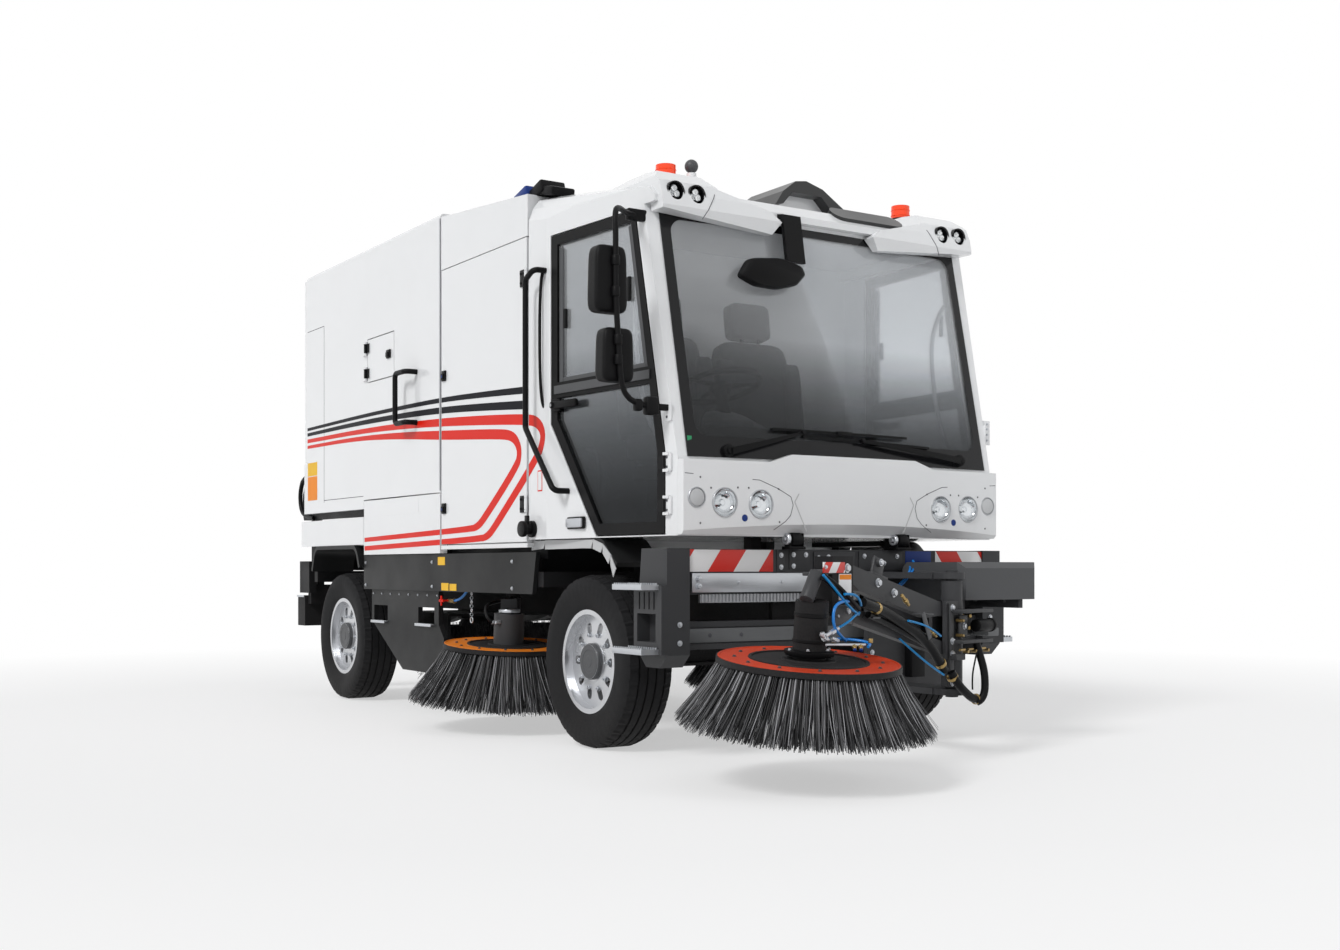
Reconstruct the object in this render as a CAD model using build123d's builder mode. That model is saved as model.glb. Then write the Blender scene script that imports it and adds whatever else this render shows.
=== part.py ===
from build123d import *
import os
from math import cos, radians, sin, tan

# Street sweeper truck. Millimetres, +X forward, +Y to the left, +Z up.
# The origin is on the ground under the middle of the overall length.

# ---------------------------------------------------------------- driving dimensions
GROUND_Z = 0.0
FRONT_AXLE_X = 1060.0
WHEELBASE = 3380.0
REAR_AXLE_X = FRONT_AXLE_X - WHEELBASE
HALF_WIDTH = 1080.0            # body sides
PANEL = 35.0                   # thickness of body panels and doors
SEAM = 7.0                     # gap round a door or between two bodies

TYRE_R = 433.5                 # 265/70 R 19.5
TYRE_W = 265.0
BEAD_R = 248.0
RIM_FLANGE_R = 260.5
RIM_HALF_W = 101.0
WHEEL_Y = 925.0                # middle plane of the tyres
AXLE_Z = TYRE_R
KINGPIN_Y = 785.0
SPINDLE_R = 40.0
SPINDLE_TIP_Y = WHEEL_Y + 45.0
FIT = 0.3                      # radial clearance of pins and spindles
HAND_HOLES = 10

RAIL_Y = 390.0                 # outside of the ladder frame
RAIL_BOTTOM_Z = 620.0
RAIL_TOP_Z = 800.0
RAIL_FLANGE = 75.0
RAIL_WEB = 9.0
RAIL_REAR_X = -2990.0
RAIL_FRONT_X = 1700.0
BEARER_H = 80.0
BEARER_HALF_Y = 1035.0         # the skirts and lower panels are screwed to its ends
BEARER_TOP_Z = RAIL_TOP_Z + BEARER_H

BODY_FLOOR_Z = 1010.0
BODY_TOP_Z = 3000.0
HOPPER_REAR_X = -2990.0
HOPPER_FRONT_X = -612.0
HOPPER_BOTTOM_Z = 1350.0
HOPPER_REAR_BOTTOM_Z = 1290.0
HOPPER_STEP_X = -1830.0
HOPPER_WALL = 40.0
TAILGATE_T = 55.0
TIP_AXIS = (HOPPER_REAR_X - 85, 1320.0)   # x, z of the hinge that the hopper tips about

MID_REAR_X = HOPPER_FRONT_X + 12.0
MID_FRONT_X = 500.0
MID_SEAM_Z = 2660.0
MID_FRONT_TOP_Z = 2880.0
MID_REAR_TOP_Z = 2975.0

CAB_REAR_X = MID_FRONT_X + 15.0
CAB_TAPER_X = 710.0            # the sides run inward ahead of here
CAB_FRONT_X = 1810.0
CAB_FRONT_HALF_Y = 990.0
CAB_FLOOR_Z = 1050.0
CAB_WALL = 45.0
CAB_ROOF_Z = 2620.0            # underside of the roof
ROOF_REAR_Z = 2870.0
ROOF_FRONT_Z = 2740.0
SCREEN_BOTTOM_Z = 1415.0
SCREEN_TOP_Z = 2600.0
SCREEN_BOTTOM_X = 1810.0
SCREEN_TOP_X = 1560.0
SCREEN_HALF_Y = 940.0
SCREEN_BOW = 40.0              # how far the cab's front stands out in its middle
SCREEN_LEAN = (SCREEN_TOP_X - SCREEN_BOTTOM_X) / (SCREEN_TOP_Z - SCREEN_BOTTOM_Z)
GLASS = 8.0

SIDES = {"right": -1, "left": 1}


def taper_half_y(x):
    """Half width of the cab at x: full behind CAB_TAPER_X, drawn in ahead of it."""
    share = (x - CAB_TAPER_X) / (CAB_FRONT_X - CAB_TAPER_X)
    return HALF_WIDTH + (CAB_FRONT_HALF_Y - HALF_WIDTH) * max(share, 0.0)


TAPER_DEG = 4.68               # angle of the drawn-in sides


def side_plane(side, y=0.0):
    """Upright plane at side * y whose normal points out of that side; local x is global X."""
    return Plane(origin=(0, side * y, 0), x_dir=(1, 0, 0), z_dir=(0, side, 0))


def side_points(side, points):
    """(x, z) pairs as local points of side_plane; its local y runs down on the left side."""
    return [(x, -side * z) for x, z in points]


def label(part, name):
    part.label = name
    os.makedirs("parts", exist_ok=True)
    export_step(part, "parts/" + name + ".step")


def extruded_outline(points, side, y_in, y_out):
    """Plate with an (x, z) outline between y_in and y_out of one side."""
    with BuildPart() as plate:
        with BuildSketch(side_plane(side, y_in)):
            with BuildLine():
                Polyline(*side_points(side, points), close=True)
            make_face()
        extrude(amount=y_out - y_in)
    return plate.part


def box_between(low, high, mode=Mode.ADD):
    """Box from its lowest to its highest corner, in the part being built."""
    size = [b - a for a, b in zip(low, high)]
    middle = [(a + b) / 2 for a, b in zip(low, high)]
    with Locations(tuple(middle)):
        Box(*size, mode=mode)


HINGE_PIN_R = 5.0
BARREL_R = 10.0
BARREL_HALF_H = 30.0
HINGE_END_H = 13.0


def add_upright_cylinder(x, y, low_z, high_z, radius, mode=Mode.ADD):
    with BuildSketch(Plane.XY.offset(low_z)) as disc:
        with Locations((x, y)):
            Circle(radius)
    extrude(disc.sketch, amount=high_z - low_z, mode=mode)


def add_hinge_barrel(x, y, z, leaf_low, leaf_high):
    """Moving half of an upright hinge: barrel and leaf; the leaf's corners are (x, y) pairs."""
    add_upright_cylinder(x, y, z - BARREL_HALF_H, z + BARREL_HALF_H, BARREL_R)
    box_between((*leaf_low, z - BARREL_HALF_H), (*leaf_high, z + BARREL_HALF_H))
    add_upright_cylinder(x, y, z - BARREL_HALF_H, z + BARREL_HALF_H, HINGE_PIN_R + FIT, Mode.SUBTRACT)


def add_hinge_pin(x, y, z, block_low, block_high):
    """Fixed half: pin through the barrel, held by a block above and one below it."""
    reach = BARREL_HALF_H + 2 + HINGE_END_H
    add_upright_cylinder(x, y, z - reach, z + reach, HINGE_PIN_R)
    for low_z in (z - reach, z + BARREL_HALF_H + 2):
        add_upright_cylinder(x, y, low_z, low_z + HINGE_END_H, BARREL_R)
        box_between((*block_low, low_z), (*block_high, low_z + HINGE_END_H))


def sorted_y(side, near, far):
    return sorted((side * near, side * far))


# ---------------------------------------------------------------- wheels
# Axial places are measured outward from the tyre's middle plane.
TYRE_SECTION = [  # radius, half width
    (BEAD_R, 98.0),
    (RIM_FLANGE_R + 3, 97.5),
    (305.0, 128.0),
    (355.0, TYRE_W / 2),
    (400.0, 124.0),
    (424.0, 112.0),
    (TYRE_R, 88.0),
]
RIM_THICK = 12.0
DISC_OUT = 62.0
DISC_IN = 48.0
HUB_R = 100.0
HUB_IN = -25.0
HUB_OUT = 78.0
CAP_R = 87.0
CAP_OUT = 104.0
HAND_HOLE_R = 168.0


def wheel_plane(x, side):
    """Local x is radial, local y points outward along the axle."""
    return Plane(origin=(x, side * WHEEL_Y, AXLE_Z), x_dir=(side, 0, 0), z_dir=(0, 0, 1))


def axle_axis(x):
    return Axis((x, 0, AXLE_Z), (0, 1, 0))


def make_tyre(x, side):
    outline = [(r, -a) for r, a in TYRE_SECTION] + [(r, a) for r, a in reversed(TYRE_SECTION)]
    with BuildPart() as tyre:
        with BuildSketch(wheel_plane(x, side)):
            with BuildLine():
                Polyline(*outline, close=True)
            make_face()
        revolve(axis=axle_axis(x))
    return tyre.part


def make_rim(x, side):
    barrel_in = BEAD_R - RIM_THICK
    outline = [
        (barrel_in, -RIM_HALF_W - 9), (RIM_FLANGE_R, -RIM_HALF_W - 9),
        (RIM_FLANGE_R, -RIM_HALF_W), (BEAD_R, -RIM_HALF_W),
        (BEAD_R, RIM_HALF_W), (RIM_FLANGE_R, RIM_HALF_W),
        (RIM_FLANGE_R, RIM_HALF_W + 9), (barrel_in, RIM_HALF_W + 9),
        (barrel_in, DISC_OUT), (HUB_R, DISC_OUT + 14), (HUB_R, HUB_OUT),
        (CAP_R, HUB_OUT), (CAP_R, CAP_OUT), (0, CAP_OUT), (0, SPINDLE_TIP_Y - WHEEL_Y + 3),
        (SPINDLE_R + FIT, SPINDLE_TIP_Y - WHEEL_Y + 3), (SPINDLE_R + FIT, HUB_IN),
        (HUB_R, HUB_IN), (HUB_R, DISC_IN + 8), (barrel_in, DISC_IN),
    ]
    with BuildPart() as rim:
        with BuildSketch(wheel_plane(x, side)):
            with BuildLine():
                Polyline(*outline, close=True)
            make_face()
        revolve(axis=axle_axis(x))
        disc_face = Plane(origin=(x, side * WHEEL_Y, AXLE_Z), x_dir=(1, 0, 0), z_dir=(0, side, 0))
        with BuildSketch(disc_face):
            with PolarLocations(HAND_HOLE_R, HAND_HOLES):
                SlotOverall(66, 44)
        extrude(amount=RIM_HALF_W, mode=Mode.SUBTRACT)
    return rim.part


WHEELS = [  # name, x, side
    ("front_right", FRONT_AXLE_X, -1),
    ("front_left", FRONT_AXLE_X, 1),
    ("rear_right", REAR_AXLE_X, -1),
    ("rear_left", REAR_AXLE_X, 1),
]
for wheel_name, wheel_x, wheel_side in WHEELS:
    label(make_tyre(wheel_x, wheel_side), "tyre_" + wheel_name)
    label(make_rim(wheel_x, wheel_side), "rim_" + wheel_name)

# ---------------------------------------------------------------- axles and knuckles
EYE_R = 52.0
PIN_R = 28.0
EYE_HALF_H = 45.0
EAR_T = 28.0
BEAM_HALF = 42.0
HUB_FACE_Y = WHEEL_Y + HUB_IN
SPRING_Y = RAIL_Y - RAIL_FLANGE / 2
SPRING_PAD_Z = AXLE_Z + 60.0

with BuildPart() as front_axle:
    box_between((FRONT_AXLE_X - BEAM_HALF, -KINGPIN_Y + 20, AXLE_Z - 40),
                (FRONT_AXLE_X + BEAM_HALF, KINGPIN_Y - 20, AXLE_Z + 40))
    for web_side in (-1, 1):
        web_low = FRONT_AXLE_X + (BEAM_HALF if web_side > 0 else -BEAM_HALF) - 30 * (web_side > 0)
        box_between((web_low, -KINGPIN_Y + 110, AXLE_Z - 24),
                    (web_low + 30, KINGPIN_Y - 110, AXLE_Z + 24), mode=Mode.SUBTRACT)
    for side in SIDES.values():
        with BuildSketch(Plane.XY.offset(AXLE_Z - EYE_HALF_H)):
            with Locations((FRONT_AXLE_X, side * KINGPIN_Y)):
                Circle(EYE_R)
        extrude(amount=2 * EYE_HALF_H)
        with BuildSketch(Plane.XY.offset(AXLE_Z - EYE_HALF_H)):
            with Locations((FRONT_AXLE_X, side * KINGPIN_Y)):
                Circle(PIN_R + FIT)
        extrude(amount=2 * EYE_HALF_H, mode=Mode.SUBTRACT)
        box_between((FRONT_AXLE_X - 70, side * SPRING_Y - 45, AXLE_Z + 40),
                    (FRONT_AXLE_X + 70, side * SPRING_Y + 45, SPRING_PAD_Z))
label(front_axle.part, "front_axle")


def make_knuckle(side):
    """Forked knuckle: ears above and below the axle eye, kingpin, and the wheel spindle."""
    with BuildPart() as knuckle:
        for low_z in (AXLE_Z - EYE_HALF_H - 5 - EAR_T, AXLE_Z + EYE_HALF_H + 5):
            with BuildSketch(Plane.XY.offset(low_z)):
                with Locations((FRONT_AXLE_X, side * KINGPIN_Y)):
                    Circle(EYE_R - 6)
                with Locations((FRONT_AXLE_X, side * (KINGPIN_Y + 42))):
                    Rectangle(80, 84)
            extrude(amount=EAR_T)
        box_between((FRONT_AXLE_X - 60, min(side * (KINGPIN_Y + 62), side * (KINGPIN_Y + 92)),
                     AXLE_Z - EYE_HALF_H - 5 - EAR_T),
                    (FRONT_AXLE_X + 60, max(side * (KINGPIN_Y + 62), side * (KINGPIN_Y + 92)),
                     AXLE_Z + EYE_HALF_H + 5 + EAR_T))
        with BuildSketch(Plane.XY.offset(AXLE_Z - EYE_HALF_H - 5 - EAR_T)):
            with Locations((FRONT_AXLE_X, side * KINGPIN_Y)):
                Circle(PIN_R)
        extrude(amount=2 * (EYE_HALF_H + 5 + EAR_T))
        root = Plane(origin=(FRONT_AXLE_X, side * (KINGPIN_Y + 80), AXLE_Z),
                     x_dir=(1, 0, 0), z_dir=(0, side, 0))
        with BuildSketch(root):
            Circle(SPINDLE_R)
        extrude(amount=SPINDLE_TIP_Y - KINGPIN_Y - 80)
    return knuckle.part


for side_name, side in SIDES.items():
    label(make_knuckle(side), "knuckle_" + side_name)

DIFF_R = 165.0
TUBE_R = 62.0
with BuildPart() as rear_axle:
    with BuildSketch(Plane.XZ.offset(-HUB_FACE_Y + 6)):
        with Locations((REAR_AXLE_X, AXLE_Z)):
            Circle(TUBE_R)
    extrude(amount=2 * (HUB_FACE_Y - 6))
    with BuildSketch(Plane.XZ.offset(-SPINDLE_TIP_Y)):
        with Locations((REAR_AXLE_X, AXLE_Z)):
            Circle(SPINDLE_R)
    extrude(amount=2 * SPINDLE_TIP_Y)
    with Locations((REAR_AXLE_X, 0, AXLE_Z)):
        Sphere(DIFF_R)
    for side in SIDES.values():
        box_between((REAR_AXLE_X - 70, side * SPRING_Y - 45, AXLE_Z),
                    (REAR_AXLE_X + 70, side * SPRING_Y + 45, AXLE_Z + TUBE_R + 12))
label(rear_axle.part, "rear_axle")

SPRING_HALF = 520.0
LEAF_H = 12.0
LEAVES = 5
SPRING_RISE = 62.0
with BuildPart() as leaf_springs:
    for axle_x, pad_z in ((FRONT_AXLE_X, SPRING_PAD_Z), (REAR_AXLE_X, AXLE_Z + TUBE_R + 12)):
        for side in SIDES.values():
            with BuildSketch(Plane.XZ.offset(-side * SPRING_Y - 35)):
                with BuildLine():
                    left = (axle_x - SPRING_HALF, pad_z + SPRING_RISE + LEAF_H)
                    right = (axle_x + SPRING_HALF, pad_z + SPRING_RISE + LEAF_H)
                    bottom = ThreePointArc(left, (axle_x, pad_z), right)
                    Line(right, (right[0], right[1] + LEAF_H))
                    Polyline((right[0], right[1] + LEAF_H), (axle_x + 60, pad_z + LEAVES * LEAF_H),
                             (axle_x - 60, pad_z + LEAVES * LEAF_H), (left[0], left[1] + LEAF_H))
                    Line((left[0], left[1] + LEAF_H), left)
                make_face()
            extrude(amount=70)
            for end_x in (left[0] + 30, right[0] - 30):
                box_between((end_x - 30, side * SPRING_Y - 35, left[1] - 25),
                            (end_x + 30, side * SPRING_Y + 35, RAIL_BOTTOM_Z))
label(leaf_springs.part, "leaf_springs")

# ---------------------------------------------------------------- ladder frame and bearers
CROSS_XS = [-2950.0, -2720.0, -1960.0, -1400.0, -820.0, -250.0, 320.0, 700.0, 1420.0, 1660.0]
CROSS_W = 60.0
with BuildPart() as chassis_frame:
    for side in SIDES.values():
        inner, outer = sorted((side * (RAIL_Y - RAIL_FLANGE), side * RAIL_Y))
        box_between((RAIL_REAR_X, inner, RAIL_BOTTOM_Z), (RAIL_FRONT_X, outer, RAIL_TOP_Z))
        low, high = sorted((side * (RAIL_Y - RAIL_FLANGE), side * (RAIL_Y - RAIL_WEB)))
        box_between((RAIL_REAR_X, low, RAIL_BOTTOM_Z + RAIL_WEB),
                    (RAIL_FRONT_X, high, RAIL_TOP_Z - RAIL_WEB), mode=Mode.SUBTRACT)
    for cross_x in CROSS_XS:
        box_between((cross_x, -RAIL_Y + RAIL_WEB, RAIL_BOTTOM_Z + 30),
                    (cross_x + CROSS_W, RAIL_Y - RAIL_WEB, RAIL_TOP_Z - 30))
label(chassis_frame.part, "chassis_frame")

POST_Y = 450.0
POST = 60.0
SIDE_POST_TOP_Z = 1200.0
BEARERS = [  # x of the rear face, top of the two posts that stand on it
    (-2900.0, HOPPER_REAR_BOTTOM_Z - 8),
    (-1870.0, HOPPER_REAR_BOTTOM_Z - 8),
    (-1240.0, HOPPER_BOTTOM_Z - 8),
    (-700.0, HOPPER_BOTTOM_Z - 8),
    (-560.0, BODY_FLOOR_Z),
    (420.0, BODY_FLOOR_Z),
    (535.0, CAB_FLOOR_Z),
    (1620.0, CAB_FLOOR_Z),
]
with BuildPart() as body_bearers:
    for bearer_x, post_top in BEARERS:
        half_y = 880.0 if bearer_x > CAB_TAPER_X else BEARER_HALF_Y
        box_between((bearer_x, -half_y, RAIL_TOP_Z), (bearer_x + POST, half_y, BEARER_TOP_Z))
        for side in SIDES.values():
            box_between((bearer_x, side * POST_Y - POST / 2, BEARER_TOP_Z),
                        (bearer_x + POST, side * POST_Y + POST / 2, post_top))
            if bearer_x < HOPPER_FRONT_X - POST:
                low, high = sorted_y(side, BEARER_HALF_Y - POST, BEARER_HALF_Y)
                box_between((bearer_x, low, BEARER_TOP_Z), (bearer_x + POST, high, SIDE_POST_TOP_Z))
label(body_bearers.part, "body_bearers")

# ---------------------------------------------------------------- hopper
HATCH = (-1760.0, 2120.0, -1320.0, 2395.0)     # x, z, x, z
HOPPER_SHELL_REAR_X = HOPPER_REAR_X + TAILGATE_T + SEAM
GATE_AXIS = (HOPPER_REAR_X - 8, BODY_TOP_Z - 26)      # x, z of the tailgate's hinge
GATE_HINGE_YS = (-700.0, 700.0)
GATE_PIN_R = 12.0
GATE_PIN_HALF = 90.0
GATE_LUG_HALF = 20.0
GATE_LUG_R = 22.0
GATE_RIB_ZS = (1600.0, 2050.0, 2500.0)
GATE_LOW_HALF_Y = 915.0        # the lower part passes between the tipping arms
GATE_STEP_Z = 1660.0           # above it the tailgate is as wide as the hopper
GATE_RIB_HALF_Y = GATE_LOW_HALF_Y - 15
HATCH_AXIS = (HATCH[0] - 12, -HALF_WIDTH - 10.5)
HATCH_HINGE_ZS = (HATCH[1] + 55, HATCH[3] - 55)
hopper_outline = [
    (HOPPER_SHELL_REAR_X, HOPPER_REAR_BOTTOM_Z), (HOPPER_STEP_X, HOPPER_REAR_BOTTOM_Z),
    (HOPPER_STEP_X, HOPPER_BOTTOM_Z), (HOPPER_FRONT_X, HOPPER_BOTTOM_Z),
    (HOPPER_FRONT_X, BODY_TOP_Z), (HOPPER_SHELL_REAR_X, BODY_TOP_Z),
]
with BuildPart() as hopper:
    with BuildSketch(Plane.XZ):
        with BuildLine():
            Polyline(*hopper_outline, close=True)
        make_face()
    extrude(amount=HALF_WIDTH, both=True)
    fillet(hopper.edges().filter_by(Axis.X).group_by(Axis.Z)[-1], radius=25)
    box_between((HOPPER_SHELL_REAR_X - 10, -HALF_WIDTH + HOPPER_WALL, HOPPER_BOTTOM_Z + HOPPER_WALL),
                (HOPPER_FRONT_X - HOPPER_WALL, HALF_WIDTH - HOPPER_WALL, BODY_TOP_Z - HOPPER_WALL),
                mode=Mode.SUBTRACT)
    box_between((HATCH[0] - SEAM, -HALF_WIDTH - 10, HATCH[1] - SEAM),
                (HATCH[2] + SEAM, -HALF_WIDTH + HOPPER_WALL + 10, HATCH[3] + SEAM), mode=Mode.SUBTRACT)
    for side in SIDES.values():
        low, high = sorted_y(side, GATE_LOW_HALF_Y + SEAM, HALF_WIDTH)
        box_between((HOPPER_REAR_X, low, HOPPER_REAR_BOTTOM_Z),
                    (HOPPER_SHELL_REAR_X, high, GATE_STEP_Z - SEAM))
    for hinge_z in HATCH_HINGE_ZS:
        add_hinge_pin(*HATCH_AXIS, hinge_z, (HATCH_AXIS[0] - 45, HATCH_AXIS[1] - 6),
                      (HATCH_AXIS[0], -HALF_WIDTH))
    for hinge_y in GATE_HINGE_YS:
        with BuildSketch(Plane.XZ.offset(-hinge_y - GATE_LUG_HALF)):
            with Locations(GATE_AXIS):
                Circle(GATE_LUG_R)
            with Locations(((GATE_AXIS[0] + HOPPER_SHELL_REAR_X) / 2, GATE_AXIS[1] + 6)):
                Rectangle(HOPPER_SHELL_REAR_X - GATE_AXIS[0], 32)
            with Locations(GATE_AXIS):
                Circle(GATE_PIN_R + FIT, mode=Mode.SUBTRACT)
        extrude(amount=2 * GATE_LUG_HALF)
label(hopper.part, "hopper")

ARM_Y = (985.0, 1035.0)
ARM_OUTLINE = [
    (TIP_AXIS[0] - 55, TIP_AXIS[1] - 70), (HOPPER_STEP_X, HOPPER_REAR_BOTTOM_Z - 45),
    (HOPPER_STEP_X, HOPPER_REAR_BOTTOM_Z), (HOPPER_REAR_X - 8, HOPPER_REAR_BOTTOM_Z),
    (HOPPER_REAR_X - 8, 1640.0), (HOPPER_REAR_X - 40, 1640.0), (TIP_AXIS[0] - 75, 1440.0),
    (TIP_AXIS[0] - 85, TIP_AXIS[1]),
]
TIP_PIN_R = 22.0
HANDLE_R = 16.0
HANDLE = (-1120.0, -960.0, 1790.0, 2100.0)      # x rear, x front, z low, z high
HANDLE_OUT = 75.0
BAR_BEND_R = 30.0


def bar_handle(points, radius):
    """Round bar along a route with rounded corners."""
    with BuildPart() as bar:
        with BuildLine() as route:
            FilletPolyline(*points, radius=BAR_BEND_R)
        with BuildSketch(Plane(origin=route.line @ 0, z_dir=route.line % 0)):
            Circle(radius)
        sweep(path=route.line)
    return bar.part


hopper_handle = bar_handle([
    (HANDLE[1], -HALF_WIDTH, HANDLE[3]), (HANDLE[1], -HALF_WIDTH - HANDLE_OUT, HANDLE[3]),
    (HANDLE[0], -HALF_WIDTH - HANDLE_OUT, HANDLE[3]), (HANDLE[0], -HALF_WIDTH - HANDLE_OUT, HANDLE[2]),
    (HANDLE[1], -HALF_WIDTH - HANDLE_OUT, HANDLE[2]), (HANDLE[1], -HALF_WIDTH, HANDLE[2])], HANDLE_R)
with BuildPart() as hopper_frame:
    for side in SIDES.values():
        add(extruded_outline(ARM_OUTLINE, side, *ARM_Y))
        with BuildSketch(side_plane(side, ARM_Y[0])):
            with Locations(side_points(side, [TIP_AXIS])[0]):
                Circle(TIP_PIN_R + FIT)
        extrude(amount=ARM_Y[1] - ARM_Y[0], mode=Mode.SUBTRACT)
    add(hopper_handle)
label(hopper_frame.part, "hopper_frame")

with BuildPart() as tailgate:
    box_between((HOPPER_REAR_X, -HALF_WIDTH + 6, HOPPER_REAR_BOTTOM_Z + 6),
                (HOPPER_REAR_X + TAILGATE_T, HALF_WIDTH - 6, BODY_TOP_Z - 25))
    for side in SIDES.values():
        low, high = sorted_y(side, GATE_LOW_HALF_Y, HALF_WIDTH + 10)
        box_between((HOPPER_REAR_X - 10, low, HOPPER_REAR_BOTTOM_Z - 10),
                    (HOPPER_REAR_X + TAILGATE_T + 10, high, GATE_STEP_Z), mode=Mode.SUBTRACT)
    for rib_z in GATE_RIB_ZS:
        box_between((HOPPER_REAR_X - 22, -GATE_RIB_HALF_Y, rib_z),
                    (HOPPER_REAR_X, GATE_RIB_HALF_Y, rib_z + 60))
    for hinge_y in GATE_HINGE_YS:
        with BuildSketch(Plane.XZ.offset(-hinge_y - GATE_PIN_HALF)):
            with Locations(GATE_AXIS):
                Circle(GATE_PIN_R)
        extrude(amount=2 * GATE_PIN_HALF)
        box_between((HOPPER_REAR_X - 1, hinge_y - GATE_LUG_HALF - 5, GATE_AXIS[1] - 40),
                    (HOPPER_REAR_X + TAILGATE_T, hinge_y + GATE_LUG_HALF + 5, BODY_TOP_Z),
                    mode=Mode.SUBTRACT)
label(tailgate.part, "tailgate")

with BuildPart() as hopper_hatch:
    box_between((HATCH[0], -HALF_WIDTH, HATCH[1]), (HATCH[2], -HALF_WIDTH + HOPPER_WALL, HATCH[3]))
    for hinge_z in HATCH_HINGE_ZS:
        add_hinge_barrel(*HATCH_AXIS, hinge_z, (HATCH_AXIS[0], -HALF_WIDTH - 5),
                         (HATCH[0] + 40, -HALF_WIDTH - 0.5))
        box_between((HATCH[0], -HALF_WIDTH - 5, hinge_z - BARREL_HALF_H),
                    (HATCH[0] + 40, -HALF_WIDTH, hinge_z + BARREL_HALF_H))
label(hopper_hatch.part, "hopper_hatch")

# ---------------------------------------------------------------- engine housing behind the cab
MID_WALL_Y = HALF_WIDTH - PANEL - 10
SERVICE_DOOR = (MID_REAR_X + 6, 1040.0, MID_FRONT_X - 10, MID_SEAM_Z - 6)
SERVICE_AXIS = (MID_FRONT_X - 3, HALF_WIDTH + 8)       # x, y (right side mirrored)
SERVICE_HINGE_ZS = (1240.0, 2440.0)
mid_outline = [
    (MID_REAR_X, BODY_FLOOR_Z), (MID_FRONT_X, BODY_FLOOR_Z),
    (MID_FRONT_X, MID_FRONT_TOP_Z), (MID_REAR_X, MID_REAR_TOP_Z),
]
mid_cavity = [
    (MID_REAR_X + 30, BODY_FLOOR_Z + 25), (MID_FRONT_X - 30, BODY_FLOOR_Z + 25),
    (MID_FRONT_X - 30, MID_FRONT_TOP_Z - 33), (MID_REAR_X + 30, MID_REAR_TOP_Z - 33),
]
with BuildPart() as mid_body:
    with BuildSketch(Plane.XZ):
        with BuildLine():
            Polyline(*mid_outline, close=True)
        make_face()
    extrude(amount=HALF_WIDTH, both=True)
    with BuildSketch(Plane.XZ):
        with BuildLine():
            Polyline(*mid_cavity, close=True)
        make_face()
    extrude(amount=MID_WALL_Y - 2, both=True, mode=Mode.SUBTRACT)
    for side in SIDES.values():
        low, high = sorted((side * MID_WALL_Y, side * (HALF_WIDTH + 5)))
        box_between((MID_REAR_X - 5, low, SERVICE_DOOR[1] - SEAM),
                    (MID_FRONT_X + 5, high, MID_SEAM_Z), mode=Mode.SUBTRACT)
        low, high = sorted((side * (MID_WALL_Y - 20), side * (HALF_WIDTH + 5)))
        box_between((MID_REAR_X + 30, low, SERVICE_DOOR[1] + 30),
                    (MID_FRONT_X - 30, high, MID_SEAM_Z - 40), mode=Mode.SUBTRACT)
        low, high = sorted_y(side, MID_WALL_Y - 1, SERVICE_AXIS[1])
        for hinge_z in SERVICE_HINGE_ZS:
            add_hinge_pin(SERVICE_AXIS[0], side * SERVICE_AXIS[1], hinge_z, (MID_FRONT_X - 7, low),
                          (MID_FRONT_X, high))
label(mid_body.part, "mid_body")

with BuildPart() as engine:
    box_between((-430.0, -390.0, BODY_FLOOR_Z + 25), (360.0, 390.0, 1880.0))
label(engine.part, "engine")

for side_name, side in SIDES.items():
    with BuildPart() as service_door:
        low, high = sorted((side * (HALF_WIDTH - PANEL), side * HALF_WIDTH))
        box_between((SERVICE_DOOR[0], low, SERVICE_DOOR[1]), (SERVICE_DOOR[2], high, SERVICE_DOOR[3]))
        low, high = sorted_y(side, HALF_WIDTH, HALF_WIDTH + 5)
        for hinge_z in SERVICE_HINGE_ZS:
            add_hinge_barrel(SERVICE_AXIS[0], side * SERVICE_AXIS[1], hinge_z,
                             (SERVICE_DOOR[2] - 40, low), (SERVICE_AXIS[0], high))
    label(service_door.part, "service_door_" + side_name)

# ---------------------------------------------------------------- cab
DOOR_AXIS = (1728.0, 1009.0)   # x, y of the cab doors' hinges
DOOR_HINGE_ZS = (1190.0, 1390.0)
CAB_MIDDLE_X = CAB_FRONT_X + SCREEN_BOW
FRONT_R = (CAB_FRONT_HALF_Y ** 2 + SCREEN_BOW ** 2) / (2 * SCREEN_BOW)


def front_x(y, ahead=0.0):
    """X of the bowed front of the cab at y, below the windscreen."""
    return CAB_MIDDLE_X + ahead - FRONT_R + (FRONT_R ** 2 - y ** 2) ** 0.5


def front_arc(ahead, half_y=CAB_FRONT_HALF_Y):
    """Arc of the bowed front, from right to left, in the line being built."""
    return ThreePointArc((front_x(half_y, ahead), -half_y), (CAB_MIDDLE_X + ahead, 0),
                         (front_x(half_y, ahead), half_y))


def bowed_block(z, behind_x, ahead):
    """Sketch on the level z: everything from behind_x to the bowed front."""
    with BuildSketch(Plane.XY.offset(z)) as block:
        with BuildLine():
            half_y = HALF_WIDTH + 20
            front_arc(ahead, half_y)
            Polyline((front_x(half_y, ahead), half_y), (behind_x, half_y), (behind_x, -half_y),
                     (front_x(half_y, ahead), -half_y))
        make_face()
    return block.sketch


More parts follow.
